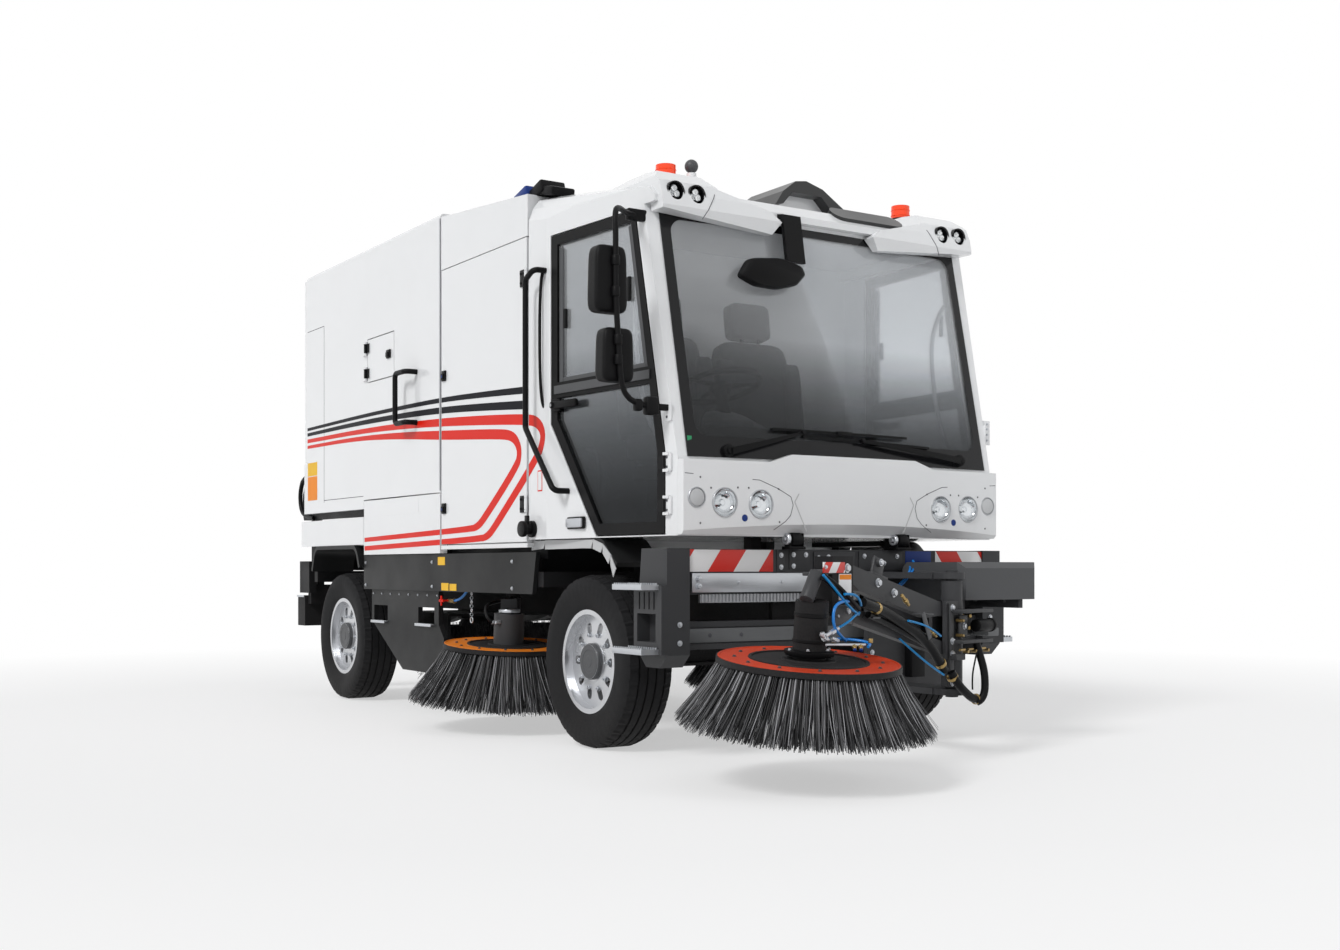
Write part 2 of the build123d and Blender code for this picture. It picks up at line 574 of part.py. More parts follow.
def bowed_band(z, ahead, thickness):
    """Sketch on the level z: strip of one thickness along the bowed front."""
    with BuildSketch(Plane.XY.offset(z)) as band:
        with BuildLine():
            front_arc(ahead)
            front_arc(ahead + thickness)
            Line((CAB_FRONT_X + ahead, -CAB_FRONT_HALF_Y),
                 (CAB_FRONT_X + ahead + thickness, -CAB_FRONT_HALF_Y))
            Line((CAB_FRONT_X + ahead, CAB_FRONT_HALF_Y),
                 (CAB_FRONT_X + ahead + thickness, CAB_FRONT_HALF_Y))
        make_face()
    return band.sketch


SCREEN_DIRECTION = (SCREEN_LEAN, 0, 1)
PER_RISE = (1 + SCREEN_LEAN ** 2) ** 0.5       # length along the screen for each unit of height


def cab_plan(rear, wall):
    """(x, y) outline of the cab from above, its walls moved in by `wall`."""
    right = [(rear, -HALF_WIDTH + wall), (CAB_TAPER_X, -HALF_WIDTH + wall),
             (CAB_MIDDLE_X + 100, -taper_half_y(CAB_MIDDLE_X + 100) + wall)]
    return right + [(x, -y) for x, y in reversed(right)]


# Door outline in the side view; the hinge is at its front edge.
DOOR_OUTLINE = [
    (757.0, 2605.0), (757.0, 1640.0), (1160.0, 1062.0), (1712.0, 1062.0), (1712.0, 1440.0),
    (1478.0, 2605.0),
]
DOOR_T = 40.0
DOOR_GAP = 7.0
DOOR_HINGE_X = 1728.0


def grown(points, by):
    """The outline moved out by a distance (in for a negative one)."""
    with BuildSketch() as wide:
        with BuildLine():
            Polyline(*points, close=True)
        make_face()
        offset(amount=by, kind=Kind.INTERSECTION)
    return wide.sketch


def slanted_plane(side, inset):
    """Plane along the drawn-in side of the cab, `inset` inside its skin, normal pointing out."""
    direction = (cos(radians(TAPER_DEG)), -side * sin(radians(TAPER_DEG)), 0)
    normal = (sin(radians(TAPER_DEG)), side * cos(radians(TAPER_DEG)), 0)
    origin = (CAB_TAPER_X - normal[0] * inset, side * HALF_WIDTH - normal[1] * inset, 0)
    return Plane(origin=origin, x_dir=direction, z_dir=normal)


def on_slant(side, points):
    """(x, z) pairs of the side view as local points of slanted_plane."""
    return [((x - CAB_TAPER_X) / cos(radians(TAPER_DEG)), -side * z) for x, z in points]


with BuildPart() as cab_front:
    add(bowed_block(SCREEN_BOTTOM_Z, 0, 0))
    extrude(amount=(CAB_ROOF_Z + 50 - SCREEN_BOTTOM_Z) * PER_RISE, dir=SCREEN_DIRECTION)
    add(bowed_block(0, 0, 0))
    extrude(amount=SCREEN_BOTTOM_Z)

with BuildPart() as cab_cavity:
    with BuildSketch(Plane.XY.offset(CAB_FLOOR_Z + CAB_WALL)):
        with BuildLine():
            Polyline(*cab_plan(CAB_REAR_X + CAB_WALL, CAB_WALL), close=True)
        make_face()
    extrude(amount=CAB_ROOF_Z - CAB_FLOOR_Z)
    add(cab_front.part.moved(Location((-CAB_WALL, 0, 0))), mode=Mode.INTERSECT)

with BuildPart() as cab_body:
    with BuildSketch(Plane.XY.offset(CAB_FLOOR_Z)):
        with BuildLine():
            Polyline(*cab_plan(CAB_REAR_X, 0), close=True)
        make_face()
    extrude(amount=CAB_ROOF_Z - CAB_FLOOR_Z)
    add(cab_front.part, mode=Mode.INTERSECT)
    add(cab_cavity.part, mode=Mode.SUBTRACT)
    with BuildSketch(Plane.YZ.offset(SCREEN_TOP_X - 160)):
        with BuildLine():
            Polyline((-SCREEN_HALF_Y + 8, SCREEN_BOTTOM_Z + 8), (SCREEN_HALF_Y - 8, SCREEN_BOTTOM_Z + 8),
                     (SCREEN_HALF_Y - 8, CAB_ROOF_Z - 40), (-SCREEN_HALF_Y + 8, CAB_ROOF_Z - 40),
                     close=True)
        make_face()
    extrude(amount=600, mode=Mode.SUBTRACT)
    for side in SIDES.values():
        with BuildSketch(slanted_plane(side, DOOR_T + 60)):
            add(grown(on_slant(side, DOOR_OUTLINE), DOOR_GAP))
        extrude(amount=DOOR_T + 160, mode=Mode.SUBTRACT)
        low, high = sorted_y(side, DOOR_AXIS[1] - 17, DOOR_AXIS[1] + 5)
        for hinge_z in DOOR_HINGE_ZS:
            add_hinge_pin(DOOR_AXIS[0], side * DOOR_AXIS[1], hinge_z, (DOOR_AXIS[0], low),
                          (DOOR_AXIS[0] + 35, high))
label(cab_body.part, "cab_body")

WINDOW = [(812.0, 2555.0), (812.0, 1850.0), (1582.0, 1850.0), (1448.0, 2555.0)]
LOWER_WINDOW = [(812.0, 1770.0), (812.0, 1660.0), (1185.0, 1118.0), (1655.0, 1118.0), (1655.0, 1445.0),
                (1592.0, 1770.0)]
for side_name, side in SIDES.items():
    with BuildPart() as cab_door:
        with BuildSketch(slanted_plane(side, DOOR_T)):
            with BuildLine():
                Polyline(*on_slant(side, DOOR_OUTLINE), close=True)
            make_face()
        extrude(amount=DOOR_T)
        for opening in (WINDOW, LOWER_WINDOW):
            with BuildSketch(slanted_plane(side, DOOR_T + 5)):
                with BuildLine():
                    Polyline(*on_slant(side, opening), close=True)
                make_face()
            extrude(amount=DOOR_T + 10, mode=Mode.SUBTRACT)
        low, high = sorted_y(side, DOOR_AXIS[1] - 9.5, DOOR_AXIS[1] - 4)
        for hinge_z in DOOR_HINGE_ZS:
            add_hinge_barrel(DOOR_AXIS[0], side * DOOR_AXIS[1], hinge_z, (DOOR_AXIS[0] - 60, low),
                             (DOOR_AXIS[0], high))
    label(cab_door.part, "cab_door_" + side_name)
    with BuildPart() as door_glass:
        for opening in (WINDOW, LOWER_WINDOW):
            with BuildSketch(slanted_plane(side, DOOR_T / 2)):
                with BuildLine():
                    Polyline(*on_slant(side, opening), close=True)
                make_face()
            extrude(amount=GLASS)
    label(door_glass.part, "door_glass_" + side_name)

with BuildPart() as windshield:
    add(bowed_band(SCREEN_BOTTOM_Z, 1, GLASS))
    extrude(amount=(SCREEN_TOP_Z - SCREEN_BOTTOM_Z) * PER_RISE, dir=SCREEN_DIRECTION)
    box_between((SCREEN_TOP_X - 100, -SCREEN_HALF_Y, SCREEN_BOTTOM_Z),
                (CAB_MIDDLE_X + 100, SCREEN_HALF_Y, SCREEN_TOP_Z), mode=Mode.INTERSECT)
label(windshield.part, "windshield")

# Front panel: a skin on the cab's bowed front, with a raised middle.
PANEL_OUT = 48.0               # from the cab's front to the panel's face
FRONT_PANEL_HALF_Y = CAB_FRONT_HALF_Y
PANEL_LOW_Z = 1055.0
PANEL_TOP_Z = 1400.0
HUMP = [(390.0, 1440.0), (520.0, PANEL_TOP_Z)]      # y, z down the flank of the raised middle
LAMPS = [  # y, z, radius
    (570.0, 1200.0, 70.0), (770.0, 1205.0, 70.0), (920.0, 1225.0, 48.0),
]
with BuildPart() as front_panel:
    add(bowed_band(PANEL_LOW_Z, 1, PANEL_OUT - 1))
    extrude(amount=HUMP[0][1] - PANEL_LOW_Z)
    with BuildSketch(Plane.YZ.offset(CAB_FRONT_X - 50)):
        with BuildLine():
            Polyline((-FRONT_PANEL_HALF_Y, PANEL_LOW_Z), (FRONT_PANEL_HALF_Y, PANEL_LOW_Z),
                     (FRONT_PANEL_HALF_Y, PANEL_TOP_Z), *HUMP[::-1],
                     *[(-y, z) for y, z in HUMP], (-FRONT_PANEL_HALF_Y, PANEL_TOP_Z), close=True)
        make_face()
    extrude(amount=200, mode=Mode.INTERSECT)
    with BuildSketch(Plane.XZ):
        with BuildLine():
            Polyline((CAB_MIDDLE_X - 10, PANEL_LOW_Z - 1), (CAB_MIDDLE_X + 190, PANEL_LOW_Z - 1),
                     (CAB_MIDDLE_X + 190, PANEL_LOW_Z + 199), close=True)
        make_face()
    extrude(amount=HALF_WIDTH, both=True, mode=Mode.SUBTRACT)
    add(bowed_band(PANEL_TOP_Z, 0, GLASS + 5))
    extrude(amount=100, mode=Mode.SUBTRACT)
    for y, z, radius in LAMPS:
        for side in SIDES.values():
            with BuildSketch(Plane.YZ.offset(CAB_FRONT_X)):
                with Locations((side * y, z)):
                    Circle(radius)
            extrude(amount=150, mode=Mode.SUBTRACT)
label(front_panel.part, "front_panel")

# ---------------------------------------------------------------- roof
ROOF_OVERHANG_X = SCREEN_TOP_X + 75
ROOF_KNEE_X = 1400.0


def roof_z(x):
    """Top of the roof on the centre line."""
    return ROOF_FRONT_Z + (ROOF_REAR_Z - ROOF_FRONT_Z) * (ROOF_KNEE_X - x) / (ROOF_KNEE_X - CAB_REAR_X)


roof_side = [
    (CAB_REAR_X, CAB_ROOF_Z), (ROOF_OVERHANG_X - 25, CAB_ROOF_Z), (ROOF_OVERHANG_X, 2622.0),
    (ROOF_OVERHANG_X, 2655.0), (ROOF_OVERHANG_X - 60, 2712.0), (ROOF_KNEE_X, ROOF_FRONT_Z),
    (CAB_REAR_X, ROOF_REAR_Z),
]
VISOR_SIDE = [  # x, z of the lamp pods and the visor blades, seen from the side
    (1080.0, 2640.0), (1200.0, 2500.0), (1655.0, 2500.0), (1682.0, 2600.0), (1668.0, 2665.0),
    (1640.0, 2725.0), (1560.0, 2785.0), (1440.0, 2800.0), (1280.0, 2800.0), (1080.0, 2770.0),
]
VISOR_FACE = [  # y, z of one pod with its blade running inward, seen from the front
    (985.0, 2585.0), (340.0, 2535.0), (292.0, 2596.0), (350.0, 2640.0), (650.0, 2715.0),
    (705.0, 2800.0), (930.0, 2800.0), (985.0, 2745.0),
]
VISOR_LAMPS = [(905.0, 2672.0, 42.0), (785.0, 2668.0, 42.0)]   # y, z, radius
VISOR_LAMP_X = 1645.0
ROOF_SHOULDER = [(HALF_WIDTH + 5, -600.0), (HALF_WIDTH + 5, -150.0), (HALF_WIDTH - 25, -70.0),
                 (HALF_WIDTH - 60, -22.0), (HALF_WIDTH - 120, 2.0)]     # y, z from the roof's rear top
ROOF_SLOPE = (ROOF_KNEE_X - CAB_REAR_X, 0, ROOF_FRONT_Z - ROOF_REAR_Z)
SCREEN_CLEARANCE = 6.0
PEDESTAL = ((1090.0, -50.0), (1330.0, 250.0), 2845.0)      # low x, y; high x, y; top z
with BuildPart() as screen_room:
    add(bowed_block(SCREEN_BOTTOM_Z, 0, GLASS + SCREEN_CLEARANCE))
    extrude(amount=(CAB_ROOF_Z - SCREEN_BOTTOM_Z) * PER_RISE, dir=SCREEN_DIRECTION)

with BuildPart() as cab_roof:
    with BuildSketch(Plane.XZ):
        with BuildLine():
            Polyline(*roof_side, close=True)
        make_face()
    extrude(amount=HALF_WIDTH, both=True)
    with BuildSketch(Plane.XY):
        with BuildLine():
            Polyline(*cab_plan(CAB_REAR_X, 0), close=True)
        make_face()
    extrude(amount=ROOF_REAR_Z + 100, mode=Mode.INTERSECT)
    with BuildSketch(Plane.YZ.offset(CAB_REAR_X)):
        with BuildLine():
            Polyline(*[(y, ROOF_REAR_Z + z) for y, z in ROOF_SHOULDER],
                     *[(-y, ROOF_REAR_Z + z) for y, z in reversed(ROOF_SHOULDER)], close=True)
        make_face()
    extrude(amount=1300, dir=ROOF_SLOPE, mode=Mode.INTERSECT)
    for side in SIDES.values():
        with BuildPart(mode=Mode.PRIVATE) as visor:
            add(extruded_outline(VISOR_SIDE, side, 200.0, HALF_WIDTH))
            with BuildSketch(Plane.YZ.offset(1000)):
                with BuildLine():
                    Polyline(*[(side * y, z) for y, z in VISOR_FACE], close=True)
                make_face()
            extrude(amount=800, mode=Mode.INTERSECT)
            add(screen_room.part, mode=Mode.SUBTRACT)
        add(visor.part)
        for y, z, radius in VISOR_LAMPS:
            with BuildSketch(Plane.YZ.offset(VISOR_LAMP_X - 20)):
                with Locations((side * y, z)):
                    Circle(radius)
            extrude(amount=100, mode=Mode.SUBTRACT)
    box_between((CAB_REAR_X + 40, -HALF_WIDTH + 80, CAB_ROOF_Z - 10),
                (SCREEN_TOP_X - 90, HALF_WIDTH - 80, ROOF_FRONT_Z - 60), mode=Mode.SUBTRACT)
    box_between((*PEDESTAL[0], roof_z(PEDESTAL[0][0]) - 50), (*PEDESTAL[1], PEDESTAL[2]))
label(cab_roof.part, "cab_roof")

BEACON = (1360.0, 765.0)
BEACON_LOW_Z = 2800.0
BEACON_H = 80.0
BEACON_R = 50.0
with BuildPart() as beacons:
    for side in SIDES.values():
        add_upright_cylinder(BEACON[0], side * BEACON[1], BEACON_LOW_Z, BEACON_LOW_Z + BEACON_H, BEACON_R)
label(beacons.part, "beacons")

HOOD = [  # y, z of the arched cover on its pedestal, seen from the front
    (-120.0, 2770.0), (-70.0, 2845.0), (10.0, 2905.0), (80.0, 2915.0), (190.0, 2885.0), (330.0, 2800.0),
    (330.0, 2765.0), (255.0, 2775.0), (180.0, PEDESTAL[2]), (-10.0, PEDESTAL[2]), (-70.0, 2780.0),
]
HOOD_X = (1010.0, 1400.0)
SCOOP = (1560.0, 335.0, 2700.0)        # middle of the dark scoop on the sloping front
SCOOP_SIZE = (470.0, 120.0)
with BuildPart() as roof_unit:
    with BuildSketch(Plane.YZ.offset(HOOD_X[0])):
        with BuildLine():
            Polyline(*HOOD, close=True)
        make_face()
    extrude(amount=HOOD_X[1] - HOOD_X[0])
    with BuildSketch(Plane(origin=SCOOP, x_dir=(0, 1, 0), z_dir=(0.6, 0, 0.8))):
        SlotOverall(*SCOOP_SIZE)
    extrude(amount=30, both=True)
    add(cab_roof.part, mode=Mode.SUBTRACT)
label(roof_unit.part, "roof_unit")

with BuildPart() as lamps:
    for y, z, radius in LAMPS:
        for side in SIDES.values():
            with BuildSketch(Plane.YZ.offset(front_x(y, 12))):
                with Locations((side * y, z)):
                    Circle(radius)
            extrude(amount=PANEL_OUT - 20)
    for y, z, radius in VISOR_LAMPS:
        for side in SIDES.values():
            with BuildSketch(Plane.YZ.offset(VISOR_LAMP_X - 20)):
                with Locations((side * y, z)):
                    Circle(radius)
            extrude(amount=12)
label(lamps.part, "lamps")

# ---------------------------------------------------------------- inside the cab
CAB_FLOOR_TOP_Z = CAB_FLOOR_Z + CAB_WALL
WHEEL_HUB = (1490.0, -520.0, 1860.0)
with BuildPart() as dashboard:
    with BuildSketch(Plane.XZ.offset(-900)):
        with BuildLine():
            Polyline((1460.0, CAB_FLOOR_TOP_Z), (1760.0, CAB_FLOOR_TOP_Z), (1760.0, 1400.0),
                     (1740.0, 1480.0), (1560.0, 1560.0), (1480.0, 1480.0), close=True)
        make_face()
    extrude(amount=1800)
    column = Plane(origin=(1600.0, WHEEL_HUB[1], 1500.0), z_dir=(-110, 0, 360), x_dir=(0, 1, 0))
    with BuildSketch(column):
        Circle(45)
    extrude(amount=375)
    rim_plane = Plane(origin=WHEEL_HUB, z_dir=(-110, 0, 360), x_dir=(0, 1, 0))
    with BuildSketch(rim_plane):
        Circle(210)
        Circle(185, mode=Mode.SUBTRACT)
        Rectangle(380, 40)
    extrude(amount=22, both=True)
label(dashboard.part, "dashboard")

SEAT_YS = (-520.0, 60.0)
SEAT_BACK_X = 900.0
with BuildPart() as seats:
    for seat_y in SEAT_YS:
        with BuildSketch(Plane.XZ.offset(-seat_y - 245)):
            with BuildLine():
                Polyline((950.0, CAB_FLOOR_TOP_Z), (1330.0, CAB_FLOOR_TOP_Z), (1330.0, 1420.0),
                         (1430.0, 1440.0), (1430.0, 1540.0), (1050.0, 1540.0), (960.0, 2230.0),
                         (860.0, 2230.0), (920.0, 1440.0), (950.0, 1420.0), close=True)
            make_face()
        extrude(amount=490)
label(seats.part, "seats")

# ---------------------------------------------------------------- wipers, mirrors, grab bars
WIPER_Y = 730.0
WIPER_Z = 1462.0
WIPER_GAP = 14.0
with BuildPart() as wipers:
    for side in SIDES.values():
        boss_x = front_x(WIPER_Y, GLASS + 12)
        box_between((boss_x, side * WIPER_Y - 22, PANEL_TOP_Z), (boss_x + 24, side * WIPER_Y + 22, WIPER_Z))
        low, high = sorted_y(side, 60 - 120 * (side > 0), WIPER_Y)
        arm_x = front_x(0, GLASS + WIPER_GAP) + 26 * (side > 0)
        box_between((boss_x, side * WIPER_Y - 22, WIPER_Z - 20), (arm_x + 18, side * WIPER_Y + 22, WIPER_Z + 12))
        box_between((arm_x, low, WIPER_Z - 10), (arm_x + 18, high, WIPER_Z + 12))
label(wipers.part, "wipers")

MIRRORS = [  # z of the middle, height, width
    (2200.0, 330.0, 205.0),
    (1860.0, 260.0, 205.0),
]
MIRROR_Y = -1290.0
MIRROR_X = 1760.0
MIRROR_CORNER_R = 22.0
SCREEN_MIRROR = [  # y, z of the mirror that hangs under the visor
    (-580.0, 2300.0), (-520.0, 2392.0), (-330.0, 2412.0), (-200.0, 2385.0), (-178.0, 2345.0),
    (-235.0, 2285.0), (-345.0, 2258.0), (-480.0, 2262.0),
]
mirror_tube = bar_handle([
    (1545.0, -taper_half_y(1545) - 1.2, 2560.0), (1545.0, -1095.0, 2560.0),
    (MIRROR_X, MIRROR_Y, 2540.0), (MIRROR_X, MIRROR_Y, 1690.0), (1745.0, -1120.0, 1640.0),
    (1745.0, -taper_half_y(1745) - 1.2, 1640.0)], 14)
with BuildPart() as mirrors:
    add(mirror_tube)
    for z, height, width in MIRRORS:
        with BuildPart(mode=Mode.PRIVATE) as housing:
            box_between((MIRROR_X - 60, MIRROR_Y - width / 2, z - height / 2),
                        (MIRROR_X + 20, MIRROR_Y + width / 2, z + height / 2))
            fillet(housing.edges().filter_by(Axis.X), radius=MIRROR_CORNER_R)
            fillet(housing.faces().sort_by(Axis.X)[-1].edges(), radius=MIRROR_CORNER_R)
        add(housing.part)
    with BuildSketch(Plane.XZ.offset(175)):
        with BuildLine():
            Polyline((ROOF_OVERHANG_X, 2625.0), (ROOF_OVERHANG_X, 2650.0), (1680.0, 2640.0),
                     (1722.0, 2400.0), (1697.0, 2400.0), (1662.0, 2625.0), close=True)
        make_face()
    extrude(amount=115)
    with BuildSketch(Plane.YZ.offset(1690)):
        with BuildLine():
            Polyline(*SCREEN_MIRROR, close=True)
        make_face()
    extrude(amount=45)
    add(cab_roof.part, mode=Mode.SUBTRACT)
label(mirrors.part, "mirrors")

GRAB_OUT = 70.0
with BuildPart() as grab_bars:
    for side in SIDES.values():
        out = side * (HALF_WIDTH + GRAB_OUT)
        add(bar_handle([
            (700.0, side * HALF_WIDTH, 2440.0), (700.0, out, 2440.0), (610.0, out, 2400.0),
            (610.0, out, 1630.0), (915.0, out, 1290.0), (915.0, side * (taper_half_y(915) + 1.3), 1290.0)],
            15))
label(grab_bars.part, "grab_bars")

# ---------------------------------------------------------------- fenders, skirts, guards, panels
REAR_PANEL_LOW_Z = 1055.0
ARCH_T = 26.0                  # thickness of the wheel arches
ARCH_SEAT = 0.3                # clearance between an arch and the body that carries it
ARCH_DROP = ARCH_T / 2 + ARCH_SEAT
FRONT_ARCH = [(565.0, CAB_FLOOR_Z - ARCH_DROP), (1190.0, CAB_FLOOR_Z - ARCH_DROP),
              (1335.0, 915.0)]
REAR_ARCH = [(-2818.0, 880.0), (-2760.0, REAR_PANEL_LOW_Z - ARCH_DROP),
             (-1970.0, REAR_PANEL_LOW_Z - ARCH_DROP),
             (-1905.0, 905.0)]
ARCH_BEND_R = 95.0


def arch(points, side, y_in, y_out):
    """Sheet arch of one thickness along a route with rounded corners."""
    with BuildPart() as sheet:
        with BuildSketch(side_plane(side, y_in)):
            with BuildLine() as route:
                FilletPolyline(*side_points(side, points), radius=ARCH_BEND_R)
            trace(line_width=ARCH_T)
        extrude(amount=y_out - y_in)
    return sheet.part


with BuildPart() as fenders:
    for side in SIDES.values():
        add(arch(FRONT_ARCH, side, HALF_WIDTH - 300, HALF_WIDTH - 45))
        add(arch(REAR_ARCH, side, HALF_WIDTH - 300, HALF_WIDTH + 5))
label(fenders.part, "fenders")

GUARD = [(-1800.0, 762.0), (-1800.0, 560.0), (-1283.0, 262.0), (-662.0, 262.0), (-662.0, 480.0),
         (-736.0, 560.0), (-736.0, 762.0)]
GUARD_HOLES = [(-1760.0, -1530.0), (-1040.0, -800.0)]      # low x, high x
GUARD_HOLE_Z = (560.0, 660.0)
with BuildPart() as side_guards:
    for side in SIDES.values():
        add(extruded_outline([
            (-1880.0, 762.0), (515.0, 762.0), (560.0, 985.0), (-1880.0, 985.0)],
            side, BEARER_HALF_Y, BEARER_HALF_Y + 25))
        add(extruded_outline(GUARD, side, BEARER_HALF_Y - 30, BEARER_HALF_Y))
        for hole_x in GUARD_HOLES:
            low, high = sorted_y(side, BEARER_HALF_Y - 40, BEARER_HALF_Y + 10)
            box_between((hole_x[0], low, GUARD_HOLE_Z[0]), (hole_x[1], high, GUARD_HOLE_Z[1]),
                        mode=Mode.SUBTRACT)
label(side_guards.part, "side_guards")

with BuildPart() as lower_panels:
    for side in SIDES.values():
        add(extruded_outline([
            (-3050.0, REAR_PANEL_LOW_Z), (HOPPER_STEP_X - 4, REAR_PANEL_LOW_Z),
            (HOPPER_STEP_X - 4, 1236.0), (-3050.0, 1236.0)], side, BEARER_HALF_Y, HALF_WIDTH))
        add(extruded_outline([
            (HOPPER_STEP_X + 4, 988.0), (HOPPER_FRONT_X - 4, 988.0), (HOPPER_FRONT_X - 4, 1342.0),
            (HOPPER_STEP_X + 4, 1342.0)], side, BEARER_HALF_Y, HALF_WIDTH))
label(lower_panels.part, "lower_panels")

# ---------------------------------------------------------------- front beam and steps
BEAM_X = (1700.0, 1810.0)
STEP_Y = (1085.0, 1175.0)
STEP_X = (1535.0, BEAM_X[1] - 15)
STEP_ZS = (505.0, 800.0)
STEP_T = 24.0
STEP_TEETH = 9
BRACKET_X = (1580.0, BEAM_X[1] + 10)
BRACKET_Y = 930.0
BRACKET_RIBS = 4
TOE_HOLE = (1610.0, 560.0, 1770.0, 690.0)      # x, z, x, z
with BuildPart() as front_beam:
    box_between((BEAM_X[0], -1000.0, 880.0), (BEAM_X[1], 1000.0, 990.0))
    box_between((BEAM_X[0] + 40, -940.0, 777.0), (BEAM_X[1] - 20, 940.0, 882.0))
    box_between((RAIL_FRONT_X, -960.0, 520.0), (BEAM_X[1] - 40, 960.0, 650.0))
    box_between((BEAM_X[1] - 50, -910.0, 545.0), (BEAM_X[1] - 30, 910.0, 625.0), mode=Mode.SUBTRACT)
    for side in SIDES.values():
        add(extruded_outline([
            (BRACKET_X[0] + 60, 440.0), (BRACKET_X[1] - 60, 440.0), (BRACKET_X[1], 500.0),
            (BRACKET_X[1], 992.0), (BRACKET_X[0] + 20, 992.0), (BRACKET_X[0], 800.0),
            (BRACKET_X[0], 500.0)], side, BRACKET_Y, STEP_Y[0] - 30))
        add(extruded_outline([
            (BRACKET_X[0], 505.0), (BRACKET_X[1], 505.0), (BRACKET_X[1], 820.0),
            (BRACKET_X[0], 820.0)], side, BRACKET_Y, STEP_Y[0]))
        low, high = sorted_y(side, STEP_Y[0] - 70, STEP_Y[0] + 10)
        box_between((TOE_HOLE[0], low, TOE_HOLE[1]), (TOE_HOLE[2], high, TOE_HOLE[3]), mode=Mode.SUBTRACT)
        low, high = sorted_y(side, STEP_Y[0] - 6, STEP_Y[0] + 10)
        for rib in range(BRACKET_RIBS):
            groove_x = TOE_HOLE[0] + 15 + rib * 42
            box_between((groove_x, low, TOE_HOLE[3] + 20), (groove_x + 12, high, STEP_ZS[1] - 10),
                        mode=Mode.SUBTRACT)
label(front_beam.part, "front_beam")

with BuildPart() as step_treads:
    for side in SIDES.values():
        for tread_z in STEP_ZS:
            low, high = sorted_y(side, *STEP_Y)
            box_between((STEP_X[0], low, tread_z), (STEP_X[1], high, tread_z + STEP_T))
            pitch = (STEP_X[1] - STEP_X[0]) / STEP_TEETH
            low, high = sorted_y(side, STEP_Y[0] + 30, STEP_Y[1] - 12)
            for tooth in range(STEP_TEETH):
                hole_x = STEP_X[0] + (tooth + 0.5) * pitch
                box_between((hole_x - 7, low, tread_z - 1), (hole_x + 7, high, tread_z + STEP_T + 1),
                            mode=Mode.SUBTRACT)
label(step_treads.part, "step_treads")

# ---------------------------------------------------------------- rear bumper and tip hinge
BUMPER_T = 60.0
BUMPER_ZS = (640.0, 780.0)
with BuildPart() as rear_bumper:
    box_between((RAIL_REAR_X - BUMPER_T, -1030.0, BUMPER_ZS[0]), (RAIL_REAR_X, 1030.0, BUMPER_ZS[1]))
    for side in SIDES.values():
        low, high = sorted((side * 1000.0, side * 1055.0))
        box_between((RAIL_REAR_X - 170, low, 720.0), (RAIL_REAR_X + 30, high, 950.0))
        low, high = sorted((side * 700.0, side * 1055.0))
        box_between((RAIL_REAR_X - 210, low, 480.0), (RAIL_REAR_X - BUMPER_T, high, 700.0))
        low, high = sorted((side * 930.0, side * (ARM_Y[0] - 5)))
        box_between((TIP_AXIS[0] - 45, low, 780.0), (TIP_AXIS[0] + 45, high, TIP_AXIS[1] + 40))
        with BuildSketch(side_plane(side, 940.0)):
            with Locations(side_points(side, [TIP_AXIS])[0]):
                Circle(TIP_PIN_R)
        extrude(amount=ARM_Y[1] - 940.0)
        box_between((RAIL_REAR_X - BUMPER_T, low, BUMPER_ZS[0]), (RAIL_REAR_X, high, 800.0))
        box_between((TIP_AXIS[0] - 45, low, 740.0), (RAIL_REAR_X, high, 800.0))
label(rear_bumper.part, "rear_bumper")

# ---------------------------------------------------------------- rear towing jaw
JAW_SEAT = 0.3                 # clearance between its back plate and the bumper beam
JAW_BACK_T = 16.0
JAW_BACK_HALF_Y = 88.0
JAW_FACE_X = RAIL_REAR_X - BUMPER_T - JAW_SEAT
JAW_X = JAW_FACE_X - 59.7      # axis of the towing pin
JAW_R = 48.0
JAW_T = 22.0
JAW_ZS = (BUMPER_ZS[0] + 5, BUMPER_ZS[1] - 5 - JAW_T)
JAW_BORE_R = 20.5
with BuildPart() as tow_jaw:
    box_between((JAW_FACE_X - JAW_BACK_T, -JAW_BACK_HALF_Y, BUMPER_ZS[0]),
                (JAW_FACE_X, JAW_BACK_HALF_Y, BUMPER_ZS[1]))
    fillet(tow_jaw.edges().filter_by(Axis.X), 12)
    for jaw_z in JAW_ZS:
        with BuildSketch(Plane.XY.offset(jaw_z)):
            with Locations((JAW_X, 0)):
                Circle(JAW_R)
            with Locations(((JAW_X + JAW_FACE_X) / 2, 0)):
                Rectangle(JAW_FACE_X - JAW_X, 2 * JAW_R)
            with Locations((JAW_X, 0)):
                Circle(JAW_BORE_R, mode=Mode.SUBTRACT)
        extrude(amount=JAW_T)
label(tow_jaw.part, "tow_jaw")

# ---------------------------------------------------------------- main broom
BROOM_X = -1290.0
BROOM_R = 265.0
BROOM_Z = 300.0
BROOM_HALF_Y = 850.0
with BuildPart() as main_broom:
    with BuildSketch(Plane.XZ.offset(-BROOM_HALF_Y)):
        with Locations((BROOM_X, BROOM_Z)):
            Circle(BROOM_R)
    extrude(amount=2 * BROOM_HALF_Y)
    with BuildSketch(Plane.XZ.offset(-BROOM_HALF_Y - 75)):
        with Locations((BROOM_X, BROOM_Z)):
            Circle(25)
    extrude(amount=2 * (BROOM_HALF_Y + 75))
label(main_broom.part, "main_broom")

